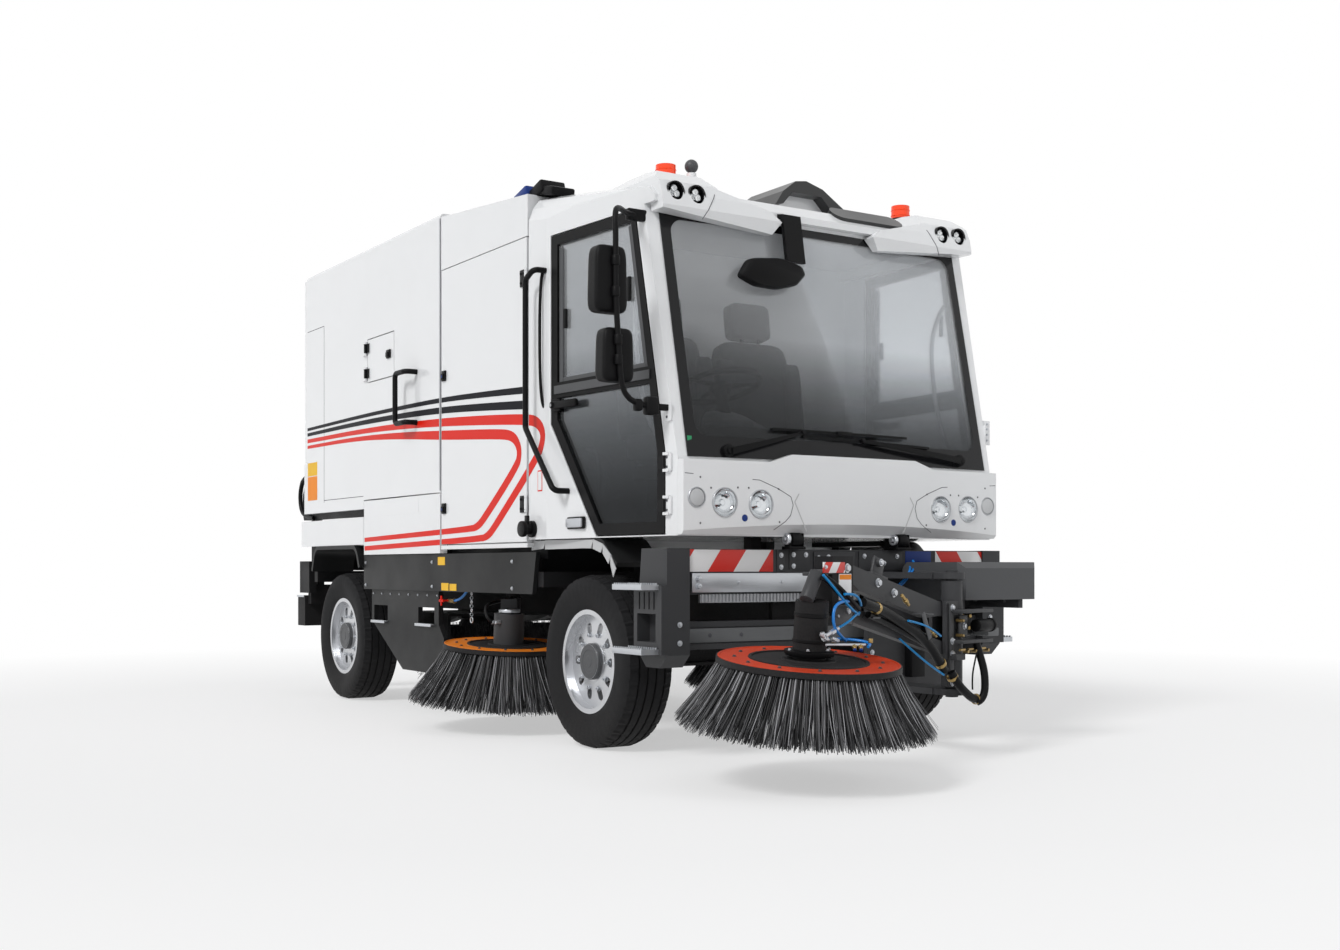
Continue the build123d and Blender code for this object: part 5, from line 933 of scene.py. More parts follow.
def front_lamps():
    bowls, rings, lenses, milk, dots, cups = [], [], [], [], [], []
    for side in SIDES.values():
        for y, z, r in HEADLAMPS:
            centre = (front_x(y), side * y, z)
            bowls.append(lathe(centre, FORWARD, [
                (r - 0.006, 0.046), (0.060, 0.034), (0.050, 0.022), (0.036, 0.014), (0.020, 0.011),
                (0.0195, 0.013), (0.0175, 0.024), (0.012, 0.029), (0.0005, 0.030)], 40))
            rings.append(lathe(centre, FORWARD, [
                (r, 0.012), (r, 0.049), (r - 0.0015, 0.0515), (r - 0.005, 0.0515), (r - 0.0065, 0.044)], 56))
            lenses.append(lathe(centre, FORWARD, [
                (r - 0.006, 0.0470), (r * 0.6, 0.0500), (0.0005, 0.0515)], 40))
        y, z, r = INDICATOR
        centre = (front_x(y), side * y, z)
        rings.append(lathe(centre, FORWARD, [
            (r, 0.012), (r, 0.0500), (r - 0.0015, 0.0520), (r - 0.0045, 0.0515), (r - 0.006, 0.045)], 48))
        milk.append(lathe(centre, FORWARD, [
            (r - 0.005, 0.0440), (r - 0.009, 0.0510), (r * 0.5, 0.0545), (0.0005, 0.0555)], 40))
        dots.append(rod((front_x(0.662, PANEL), side * 0.662, 1.134), FORWARD, 0.0165, 0.0012, sides=32))
        for y, z in VISOR_LAMPS:
            cups.append(lathe((VISOR_X, side * y, z), FORWARD, [
                (0.0005, 0.016), (0.034, 0.016), (0.040, 0.030), (0.0418, 0.052), (0.0475, 0.0575),
                (0.0495, 0.052), (0.0495, 0.020)], 48))
            for degrees in (90, 210, 330):
                turn = math.radians(degrees)
                spot = (VISOR_X, side * y + 0.0165 * math.cos(turn), z + 0.0165 * math.sin(turn))
                bowls.append(lathe(spot, FORWARD, [(0.0165, 0.038), (0.0145, 0.026), (0.009, 0.020),
                                                   (0.0055, 0.0195), (0.0045, 0.026), (0.0005, 0.0275)], 20))
    part("lamp_reflectors", MIRRORED, *bowls, replaced=["lamps"])
    part("lamp_rings", SILVER, *rings, slot="lens")
    part("lamp_lenses", LENS, *lenses)
    part("indicator_lenses", MILKY, *milk)
    part("front_dots", BLUE, *dots)
    part("visor_lamp_cups", GLOSS_BLACK, *cups)
    line = step(add_front_line)
    part("lamp_plate_seams", SEAM,
         line([(0.983, 1.335), (0.578, 1.313), (0.475, 1.276), (0.400, 1.239), (0.387, 1.200),
                                         (0.402, 1.150), (0.433, 1.120), (0.500, 1.080)], 0.0016),
                                         slot="white_paint")
    # painted shade: pale grey lines on the white front panel stand for the shading of its creases
    part("panel_crease_shade", PALE,
         line([(0.352, 1.255), (0.378, 1.215), (0.330, 1.120), (0.305, 1.075)], 0.0030),
         slot="white_paint")
    bolts("panel_screws",
          [((front_x(y, PANEL), side * y, z), FORWARD) for side in SIDES.values() for y, z in (
        (0.902, 1.318), (0.902, 1.107), (0.471, 1.274), (0.466, 1.118), (0.845, 1.270), (0.700, 1.275),
        (0.640, 1.275))], 0.0035, 0.002, SEAM, slot="black_plastic")
    mark_x = on_screen(0.922, 1.50).x
    part("screen_mark", LEAF_GREEN, box((mark_x - 0.002, -0.935, 1.487), (mark_x + 0.0015, -0.912, 1.511), 0))


def add_sweep(shape, rows):
    """Closed bar through equal rows of points."""
    rows = [[shape.verts.new(point) for point in row] for row in rows]
    for here, there in zip(rows, rows[1:]):
        wall(shape, here, there, True)
    shape.faces.new(rows[0])
    shape.faces.new(rows[-1][::-1])


WIPER_AXIS = (1, 0, 0.2)


def wiper(label_text, pivot, joint, low, high, tall, replaced=()):
    """Arm from its pivot to the middle of a blade that lies along the glass; (y, z) points."""
    def between(a, b, t):
        return a[0] + (b[0] - a[0]) * t, a[1] + (b[1] - a[1]) * t

    def arm_row(t):
        half = 0.017 - 0.010 * t
        middle = on_screen(*between(pivot, joint, t),
                           0.030 + 0.012 * math.sin(math.pi * t) - 0.004 * t + tall)
        return [middle + Vector((dx, 0, dz)) for dx, dz in (
            (0.006, half), (0.006, -half), (-0.006, -half), (-0.006, half))]

    def blade_row(t):
        lift = 0.012 + 0.006 * (1 - (2 * t - 1) ** 2) + tall
        return [on_screen(*between(low, high, t), out) + Vector((0, 0, dz)) for out, dz in (
            (0.0010, -0.003), (lift, -0.006), (lift, 0.006), (0.0010, 0.003))]

    sweep = step(add_sweep)
    part(label_text + "_arm", PLASTIC,
         rod(on_screen(*pivot, -0.010), WIPER_AXIS, 0.030, 0.032, sides=32, soften=0.004),
         rod(on_screen(*pivot, 0.020), WIPER_AXIS, 0.017, 0.018, soften=0.003),
         sweep([arm_row(k / 10) for k in range(11)]),
         rod(on_screen(*joint, 0.012 + tall), WIPER_AXIS, 0.011, 0.028, sides=16, soften=0.002),
         replaced=replaced)
    y, z = between(low, high, 0.5)
    part(label_text + "_blade", PLASTIC, sweep([blade_row(k / 24) for k in range(25)]),
         lambda shape: bmesh.ops.recalc_face_normals(shape, faces=shape.faces),
         box(on_screen(y - 0.045, z, 0.010 + tall) - 0.009 * UP,
             on_screen(y + 0.045, z, 0.030 + tall) + 0.009 * UP, 0.003))


CAMERA_X, CAMERA_Y = 1.400, -0.640


def visor_details():
    for name, side in SIDES.items():
        tube("visor_seam_" + name, [(x, side * y, z) for x, y, z in (
            (1.6597, 0.681, 2.685), (1.6690, 0.692, 2.665), (1.6830, 0.732, 2.600), (1.6712, 0.759, 2.556))],
             0.0016, material=SEAM, order=2)
        centre = (1.360, side * 0.765, 2.797)
        part("beacon_base_" + name, PLASTIC, lathe(centre, UP, [
            (0.040, -0.01), (0.062, -0.01), (0.062, 0.006), (0.056, 0.014), (0.0505, 0.014)], 40))
        part("beacon_rings_" + name, BEACON, *[lathe(centre, UP, [
            (0.0500, low), (0.0525, low + 0.002), (0.0525, high - 0.002), (0.0500, high)], 40)
            for low, high in ((0.026, 0.036), (0.056, 0.062))])
    part("camera_foot", WHITE, lathe((CAMERA_X, CAMERA_Y, 2.760), UP, [
        (0.065, 0.0), (0.060, 0.035), (0.045, 0.060), (0.026, 0.074), (0.024, 0.090), (0.0, 0.092)], 40))
    ball = [(max(0.0004, 0.034 * math.sin(math.radians(a))), 0.120 - 0.034 * math.cos(math.radians(a)))
            for a in range(0, 181, 15)]
    part("camera_ball", MID_GREY, lathe((CAMERA_X, CAMERA_Y, 2.765), UP, ball, 32), slot="black_plastic")
    # small covers at the front of the engine housing's roof
    part("roof_box", BLUE, box((0.270, -1.050, 2.868), (0.425, -0.930, 2.935), 0.012, (-14, "Y")))
    part("roof_cover", PLASTIC, box((0.400, -1.030, 2.872), (0.560, -0.880, 2.938), 0.010, (-16, "Y")),
         box((0.500, -1.020, 2.868), (0.660, -0.880, 2.915), 0.010, (12, "Y")))


front_lamps()
wiper("wiper_right", (-0.727, 1.445), (-0.310, 1.549), (-0.470, 1.562), (0.372, 1.556), 0.012, ["wipers"])
wiper("wiper_left", (0.747, 1.455), (0.067, 1.528), (-0.286, 1.536), (0.533, 1.514), 0.0)
visor_details()


# ---------------------------------------------------------------- inside the cab
BULGE = 7                       # power that rounds a cushion's faces and corners
SEAT_LEAN = -7.5


def add_cushion(shape, low, high, lean=0.0, anchor=None):
    """Soft block with bulging faces, leaning by degrees about Y."""
    low, high = Vector(low), Vector(high)
    middle, half = (low + high) / 2, (high - low) / 2
    anchor = Vector(anchor or middle)
    turn = (Matrix.Translation(anchor) @ Matrix.Rotation(math.radians(lean), 4, "Y")
            @ Matrix.Translation(-anchor))
    count = len(shape.verts)
    bmesh.ops.create_cube(shape, size=2)
    shape.verts.ensure_lookup_table()
    edges = list({edge for vert in shape.verts[count:] for edge in vert.link_edges})
    bmesh.ops.subdivide_edges(shape, edges=edges, cuts=9, use_grid_fill=True)
    shape.verts.ensure_lookup_table()
    for vert in shape.verts[count:]:
        sizes = [abs(part_of) for part_of in vert.co]
        power = sum(size ** BULGE for size in sizes) ** (1 / BULGE)
        vert.co = turn @ (middle + vert.co / max(power, 1e-6) * max(sizes) * half)


cushion = step(add_cushion)


def seat(name, y, replaced=()):
    flanks = [cushion((1.050, y + off - 0.05, 1.440), (1.410, y + off + 0.05, 1.575))
              for off in (-0.245, 0.245)]
    piece = part(name + "_cushion", FABRIC, cushion((1.035, y - 0.245, 1.420), (1.430, y + 0.245, 1.545)),
                 *flanks, replaced=replaced, sharp=80)
    foot = (1.02, y, 1.53)
    wings = [cushion((0.955, y + off - 0.05, 1.560), (1.090, y + off + 0.05, 2.020), SEAT_LEAN, foot)
             for off in (-0.225, 0.225)]
    piece = part(name + "_back", FABRIC,
                 cushion((0.930, y - 0.230, 1.500), (1.050, y + 0.230, 2.130), SEAT_LEAN, foot), *wings,
                 cushion((0.945, y - 0.130, 2.150), (1.045, y + 0.130, 2.350), SEAT_LEAN, foot), sharp=80)
    posts = [box((0.925, y + off - 0.007, 2.02), (0.939, y + off + 0.007, 2.20), 0.003, (SEAT_LEAN, "Y"))
             for off in (-0.055, 0.055)]
    part(name + "_base", PLASTIC, box((0.985, y - 0.190, 1.095), (1.330, y + 0.190, 1.200), 0.02),
         box((1.030, y - 0.160, 1.200), (1.290, y + 0.160, 1.360), 0.03),
         box((1.000, y - 0.210, 1.350), (1.370, y + 0.210, 1.425), 0.02), *posts, slot="inner_plastic")


def circle(middle_r, r, count):
    """Lathe profile of a ring with a round section."""
    turns = [2 * math.pi * k / count for k in range(count + 1)]
    return [(middle_r + r * math.cos(a), r * math.sin(a)) for a in turns]


def cab_inside():
    seat("seat_right", -0.520, ["seats"])
    seat("seat_left", 0.060)
    part("dash", TRIM, plate([(1.470, 1.100), (1.740, 1.100), (1.740, 1.400), (1.715, 1.470), (1.640, 1.500),
                              (1.560, 1.470), (1.520, 1.400)], 1, 0.890, 1.780),
         box((1.50, -0.745, 1.44), (1.70, -0.295, 1.585), 0.05), slot="inner_plastic", replaced=["dashboard"])
    part("column_cover", PALE, box((1.44, -0.610, 1.10), (1.58, -0.430, 1.55), 0.035, (-6, "Y")),
         box((1.43, -0.625, 1.52), (1.64, -0.415, 1.66), 0.045, (17, "Y")),
         box((1.18, -0.235, 1.30), (1.34, -0.155, 1.66), 0.03, (24, "Y")), slot="inner_plastic")
    hub, axis = Vector((1.470, -0.520, 1.800)), Vector((-0.29, 0, 0.957))
    turned = axis_matrix(hub, axis).to_3x3()
    spokes = [rod(hub, turned @ Vector((math.cos(math.radians(angle)), math.sin(math.radians(angle)), 0)),
                  0.014, 0.2, tip=0.011, sides=12) for angle in (15, 165, 270)]
    part("steering_wheel", PLASTIC, lathe(hub, axis, circle(0.205, 0.016, 10), 56),
         lathe(hub - axis * 0.03, axis, [(0.0005, 0.045), (0.045, 0.04), (0.060, 0.02), (0.055, 0.0)], 24),
         *spokes, rod(hub - axis * 0.26, axis, 0.032, 0.25), slot="inner_plastic")
    bolts_at("wall_caps", 0.551, [(y, z) for y in (-0.05, -0.62) for z in (2.42, 2.24, 2.14, 1.86)],
             0.014, 0.003, SILVER, slot="inner_plastic")


cab_inside()


# ---------------------------------------------------------------- cab doors and mirrors
def add_slanted_box(shape, x0, x1, z0, z1, side, low, high, soften=0.003):
    """Box that lies along the drawn-in side of the cab, from `low` to `high` outside its skin."""
    before = set(shape.verts)
    add_box(shape, (x0, low, z0), (x1, high, z1), soften)
    for vert in shape.verts:
        if vert not in before:
            vert.co.y = side_y(vert.co.x, side, vert.co.y)


def add_bar(shape, a, b, side, half, low, high):
    """Flat bar between two (x, z) points on the cab's side."""
    add_prism(shape, [[on_side(x, z, side, out) for x, z in strip(a, b, half)] for out in (low, high)])


slanted_box, bar = step(add_slanted_box), step(add_bar)
HANDLE_X, HANDLE_Z = 0.798, 1.733
COVER_LEVELS = (1.19, 1.39, 1.62)


def door_details(name, side):
    own = {"body": "cab_door_" + name}
    out = (0, side, 0)
    part("door_bars_" + name, MID_GREY, bar((0.790, 1.812), (1.600, 1.812), side, 0.021, 0.0, 0.006),
         bar((0.835, 2.53), (0.835, 1.845), side, 0.016, -0.019, -0.008),
         bar((0.83, 1.862), (1.575, 1.862), side, 0.010, -0.019, -0.010),
         bar((1.555, 1.86), (1.428, 2.54), side, 0.012, -0.019, -0.008), slot="black_plastic", **own)
    part("door_handle_" + name, PLASTIC, slanted_box(0.860, 0.884, 2.12, 2.22, side, -0.018, -0.002, 0.005),
         slanted_box(1.405, 1.432, 2.18, 2.30, side, -0.018, -0.002, 0.010),
         slanted_box(0.790, 1.010, 1.712, 1.752, side, 0.002, 0.026, 0.010),
         slanted_box(0.770, 0.850, 1.700, 1.765, side, 0.000, 0.012, 0.006),
         rod(on_side(HANDLE_X, HANDLE_Z, side, 0.010), out, 0.017, 0.020, soften=0.002), **own)
    part("door_lock_" + name, SILVER,
         rod(on_side(HANDLE_X, HANDLE_Z, side, 0.031), out, 0.008, 0.002, sides=20), **own)
    for piece, inside, radius, points in (
            ("door_pull_", -0.055, 0.011,
             ((0.995, 1.500), (1.060, 1.490), (1.105, 1.430), (1.105, 1.300), (1.060, 1.215))),
            ("door_rail_", -0.060, 0.012,
             ((1.500, 2.330), (1.390, 2.230), (1.400, 1.930), (1.500, 1.570), (1.610, 1.500)))):
        tube(piece + name, [on_side(x, z, side, inside) for x, z in points], radius, material=SILVER, **own)
    part("pillar_covers_" + name, WHITE,
         *[slanted_box(1.722, 1.772, z - 0.042, z + 0.042, side, 0.0, 0.012, 0.005)
                                           for z in COVER_LEVELS])
    bolts("pillar_bolts_" + name, [(on_side(1.745, z + dz, side, 0.012), out) for z in COVER_LEVELS
                                   for dz in (-0.022, 0.022)], 0.005, 0.003, SEAM)


for side_name, side in SIDES.items():
    door_details(side_name, side)

STEM_X = 1.635
MIRROR_X = 1.716
UPPER_MIRROR, LOWER_MIRROR = (-1.309, 2.203), (-1.272, 1.864)       # (y, z)


def add_mirror_housing(shape, centre, half, narrow=0.05):
    """Softly rounded shell whose top is narrower than its foot."""
    count = len(shape.verts)
    add_cushion(shape, Vector(centre) - Vector(half), Vector(centre) + Vector(half))
    shape.verts.ensure_lookup_table()
    for vert in shape.verts[count:]:
        level = (vert.co.z - centre[2]) / half[2]
        vert.co.y = centre[1] + (vert.co.y - centre[1]) * (1 - narrow * level)


def rounded(outline, share=0.22, steps=4):
    """Outline of flat points with its corners rounded."""
    ring = []
    for i, corner in enumerate(outline):
        start = corner.lerp(outline[i - 1], share)
        end = corner.lerp(outline[(i + 1) % len(outline)], share)
        ring += [start.lerp(corner, k / steps).lerp(corner.lerp(end, k / steps), k / steps)
                 for k in range(steps + 1)]
    return ring


def mirror_details():
    housing, sweep, prism = step(add_mirror_housing), step(add_sweep), step(add_prism)
    hinges = [rod((1.775, y, z), UP, 0.019, 0.045, soften=0.003)
              for y, z in ((-1.300, 2.260), (-1.300, 2.120), (-1.287, 1.905), (-1.285, 1.815))]
    # the mirror behind the windscreen, and its stem
    middle = Vector((-0.375, 2.335))
    ring = rounded([Vector(point) for point in (
        (-0.580, 2.300), (-0.520, 2.392), (-0.330, 2.412), (-0.200, 2.385), (-0.178, 2.345), (-0.235, 2.285),
        (-0.345, 2.258), (-0.480, 2.262))])
    inner = sweep([[(x, *point.lerp(middle, tuck)) for point in ring]
                   for x, tuck in ((1.690, 0.06), (1.694, 0.0), (1.722, 0.0), (1.735, 0.10))])
    stem = prism([[(x, y, z) for x, z in (
        (STEM_X, 2.625), (STEM_X, 2.648), (1.680, 2.640), (1.722, 2.400), (1.697, 2.400), (1.662, 2.625))]
        for y in (-0.288, -0.177)])
    part("mirror_shells", PLASTIC, housing((MIRROR_X, *UPPER_MIRROR), (0.048, 0.082, 0.152)),
         housing((MIRROR_X, *LOWER_MIRROR), (0.048, 0.079, 0.122)),
         box((1.528, -1.105, 2.535), (1.566, -1.000, 2.590), 0.010),
         box((1.725, -1.130, 1.600), (1.770, -1.060, 1.685), 0.012),
         box((1.735, -1.190, 1.615), (1.772, -1.150, 1.670), 0.010),
         box((1.735, -1.065, 1.625), (1.758, -1.000, 1.655)), *hinges, inner, stem, replaced=["mirrors"],
         sharp=50)
    tube("mirror_tube", [
        (1.545, -1.010, 2.560), (1.545, -1.095, 2.560), (1.700, -1.240, 2.545), (1.765, -1.298, 2.510),
        (1.775, -1.300, 2.400), (1.775, -1.300, 2.100), (1.775, -1.284, 1.900), (1.775, -1.275, 1.740),
        (1.765, -1.235, 1.668), (1.748, -1.140, 1.642), (1.745, -1.060, 1.640), (1.745, -1.010, 1.640)],
        0.0135)
    part("mirror_glass", CHROME, *[
        box((1.6665, y - wide, z - high), (1.6685, y + wide, z + high), 0)
        for (y, z), wide, high in ((UPPER_MIRROR, 0.062, 0.125), (LOWER_MIRROR, 0.060, 0.098))], slot="glass")
    # small bracket plate on the other side of the windscreen
    part("left_bracket", WHITE, box((1.735, 1.000, 1.560), (1.741, 1.062, 1.690), 0.002))
    bolts_at("left_bracket_bolts", 1.741, [(1.040, z) for z in (1.585, 1.615, 1.645, 1.672)], 0.005)


mirror_details()


# ---------------------------------------------------------------- beam, plates, steps
BEAM_X = 1.810
PLATE_X = 1.7905
PLATE_THICK = 0.012
CHANNEL_X, CHANNEL_THICK = 1.7605, 0.005
BRACKET_THICK = 0.006


def beam_plate(name, material, y0, y1, z0, z1, x, thick):
    part(name, material, box((x, y0, z0), (x + thick, y1, z1), min(0.0015, thick * 0.3)))


def front_beam_details():
    for name, y0, y1 in (("right", -0.996, -0.445), ("left", 0.600, 0.996)):
        beam_plate("warning_film_" + name, WARNING, y0, y1, 0.8835, 0.9865, BEAM_X, 0.0012)
    part("plate_blue", BLUE, box((BEAM_X, 0.395, 0.905), (BEAM_X + 0.0015, 0.570, 0.986), 0.00045),
         slot="white_paint")
    beam_plate("zinc_plate", STEEL, -0.905, 0.118, 0.787, 0.878, PLATE_X, PLATE_THICK)
    beam_plate("zinc_plate_left", STEEL, 0.762, 0.905, 0.787, 0.878, PLATE_X, PLATE_THICK)
    teeth = [box((1.786, -0.845 + 0.020 * k, 0.742), (1.7925, -0.836 + 0.020 * k, 0.778), 0)
             for k in range(48)]
    part("toothed_strip", SILVER, box((1.770, -0.850, 0.738), (1.786, 0.115, 0.780), 0.001), *teeth)
    beam_plate("channel_plate", DULL_SHEET, -0.900, 0.900, 0.552, 0.618, CHANNEL_X, CHANNEL_THICK)
    bolts_at("beam_bolts", PLATE_X + PLATE_THICK, [(-0.870, 0.850), (-0.870, 0.815)], 0.013, 0.012)
    bolts_at("plate_bolts", PLATE_X + PLATE_THICK, [(y, 0.833) for y in (-0.640, -0.385, -0.120)],
             0.008, 0.005)
    bolts_at("channel_bolts", CHANNEL_X + CHANNEL_THICK,
             [(y, 0.585) for y in (-0.78, -0.60, -0.22, 0.22, 0.60)], 0.007, 0.003, SEAM)
    part("beam_brackets", DARK, *[
        box((BEAM_X, y0, z0), (BEAM_X + BRACKET_THICK, y1, z1), 0.002) for y0, y1, z0, z1 in (
            (-0.425, -0.375, 0.885, 0.985), (-0.350, -0.225, 0.892, 0.985), (-0.200, 0.06, 0.885, 0.980),
            (0.085, 0.370, 0.890, 0.984))])
    bolts_at("bracket_bolts", BEAM_X + BRACKET_THICK, [
        (-0.400, 0.962), (-0.400, 0.905), (-0.325, 0.965), (-0.250, 0.965), (-0.325, 0.910), (-0.170, 0.950),
        (-0.110, 0.955), (0.030, 0.905), (0.120, 0.960), (0.250, 0.925), (0.335, 0.960)])
    # rubber cab mounts on their brackets
    for name, y in (("right", -0.345), ("left", 0.330)):
        part("cab_mount_" + name, PLASTIC,
             rod((1.845, y - 0.030, 1.036), (0, 1, 0), 0.036, 0.060, sides=36, soften=0.006),
             box((1.805, y - 0.045, 0.990), (1.875, y + 0.050, 1.004), 0.003),
             box((1.820, y + 0.034, 0.995), (1.870, y + 0.042, 1.068)),
             box((1.820, y - 0.042, 0.995), (1.870, y - 0.034, 1.068)))
        part("mount_bolt_" + name, STEEL, lathe((1.850, y - 0.050, 1.040), (0, -1, 0), [
            (0.028, -0.008), (0.028, 0.004), (0.024, 0.008), (0.016, 0.008), (0.014, 0.002)], 32),
            rod((1.850, y - 0.044, 1.040), (0, -1, 0), 0.013, 0.020, sides=6, soften=0.001))
    for name, side in SIDES.items():
        bolts_at("bracket_side_bolts_" + name, 1.820, [(side * 0.985, z) for z in (0.640, 0.555)], 0.010)
        for level, height in (("low", 0.505), ("high", 0.800)):
            teeth = [box((x, side * y, height + 0.024), (x + 0.009, side * (y + 0.007), height + 0.032), 0)
                     for x in [1.545 + 0.0195 * k for k in range(13)] for y in (1.088, 1.166)]
            part(f"step_teeth_{name}_{level}", STEEL, *teeth,
                 box((1.536, side * 1.1755, height + 0.002), (1.794, side * 1.1775, height + 0.026), 0.001))


front_beam_details()


# ---------------------------------------------------------------- front arm
ARM_ROOT = (2.320, 0.230, 0.0)
ARM_DIR = Vector((0.28813, -0.95759, 0.0))
ARM_FACE = Vector((0.95759, 0.28813, 0.0))      # the side of the arm that looks forward


def frame_of(along, ahead, origin):
    matrix = Matrix((along, ahead, UP)).transposed().to_4x4()
    matrix.translation = origin
    return matrix


ARM_FRAME = frame_of(ARM_DIR, ARM_FACE, ARM_ROOT)


def at_arm(s, z, t=0.0):
    """Point at distance s from the swing axis towards the brush, height z, t ahead of the arm's middle."""
    return ARM_FRAME @ Vector((s, t, z))


def arm_way(s, z):
    return ARM_FRAME.to_3x3() @ Vector((s, 0, z))


def add_framed_box(shape, matrix, low, high, soften=0.003, turn=None):
    """Rounded box in another frame's directions, such as the arm's: along it, ahead of it, up."""
    before = set(shape.verts)
    add_box(shape, low, high, soften, turn)
    bmesh.ops.transform(shape, matrix=matrix, verts=[vert for vert in shape.verts if vert not in before])


framed_box = step(add_framed_box)


def arm_box(*values):
    return framed_box(ARM_FRAME, *values)


def arm_rod(s, z, t, radius, depth, **named):
    """Rod that points forward off the arm."""
    return rod(at_arm(s, z, t), ARM_FACE, radius, depth, **named)


def arm_tube(name, points, radius, body, material=PLASTIC):
    """Hose held along one body; points are (s, z, t)."""
    tube(name, [at_arm(*point) for point in points], radius, body, material)


def arm_bolts(name, places, *values, **named):
    """Bolts that face forward off the arm, at (s, z, t) places."""
    bolts(name, [(at_arm(*place), ARM_FACE) for place in places], *values, **named)


def clamps(name, places, body):
    """Band clamps: (centre, axis, radius, width)."""
    part(name, BRASS, *[lathe(Vector(centre) - Vector(axis).normalized() * width / 2, axis, [
        (radius - 0.002, 0), (radius + 0.0015, 0.001), (radius + 0.0015, width - 0.001),
        (radius - 0.002, width)], 32)
        for centre, axis, radius, width in places], body=body)


def link_details():
    part("upper_link_lug", DARK, arm_box((0.612, -0.006, 0.850), (0.700, 0.006, 0.945), 0.004, (-20, "Y")),
         arm_box((0.590, -0.016, 0.855), (0.720, 0.016, 0.872), 0.003, (-13, "Y")),
         arm_rod(0.655, 0.925, -0.020, 0.020, 0.040, sides=28, soften=0.003), body="upper_link")
    arm_bolts("upper_link_bolts", [(0.685, 0.836, 0.022), (0.555, 0.790, 0.022)], 0.015, 0.012,
              body="upper_link")
    arm_bolts("lug_bolt", [(0.655, 0.925, 0.020)], 0.012, 0.008, body="upper_link")
    # thick hoses in their clamps along the lower link
    for name, radius, material, points in (
            ("hose_bundle_a", 0.022, PLASTIC, (
                (0.890, 0.752, 0.076), (0.840, 0.740, 0.078), (0.770, 0.726, 0.076), (0.680, 0.700, 0.072),
                (0.550, 0.652, 0.074), (0.400, 0.590, 0.080), (0.290, 0.505, 0.084), (0.215, 0.430, 0.080))),
            ("hose_bundle_b", 0.015, PLASTIC, (
                (0.820, 0.700, 0.058), (0.680, 0.668, 0.050), (0.500, 0.610, 0.050), (0.340, 0.560, 0.056),
                (0.230, 0.500, 0.056))),
            ("line_cyan_a", 0.005, CYAN, (
                (0.560, 0.668, 0.100), (0.470, 0.655, 0.104), (0.360, 0.625, 0.106), (0.260, 0.590, 0.090))),
            ("line_cyan_b", 0.005, CYAN, (
                (0.520, 0.585, 0.030), (0.440, 0.520, 0.062), (0.330, 0.455, 0.080), (0.225, 0.410, 0.086)))):
        arm_tube(name, points, radius, "lower_link", material)
    clamps("hose_clamps", [(at_arm(0.775, 0.727, 0.072), arm_way(-0.868, -0.40), 0.025, 0.018),
                           (at_arm(0.245, 0.462, 0.082), arm_way(-0.7, -0.7), 0.025, 0.016)], "lower_link")
    part("hose_bracket", MID_GREY, arm_box((0.365, 0.020, 0.600), (0.385, 0.108, 0.606), 0.001),
         arm_box((0.395, 0.102, 0.575), (0.425, 0.107, 0.705), 0.001, (28, "Y")),
         arm_box((0.350, 0.020, 0.690), (0.400, 0.106, 0.695), 0.001),
         arm_box((0.745, 0.018, 0.682), (0.805, 0.075, 0.690), 0.002), body="lower_link")
    fittings = []
    for s, z, lean in ((0.515, 0.735, 38), (0.275, 0.588, 30)):
        base, out = at_arm(s, z, 0.075), arm_way(math.cos(math.radians(lean)), math.sin(math.radians(lean)))
        fittings += [rod(base, out, 0.008, 0.075, sides=20, soften=0.001),
                     rod(base + out * 0.020, out, 0.012, 0.020, sides=6, soften=0.001)]
    part("hose_fittings", BRASS, *fittings, body="lower_link")


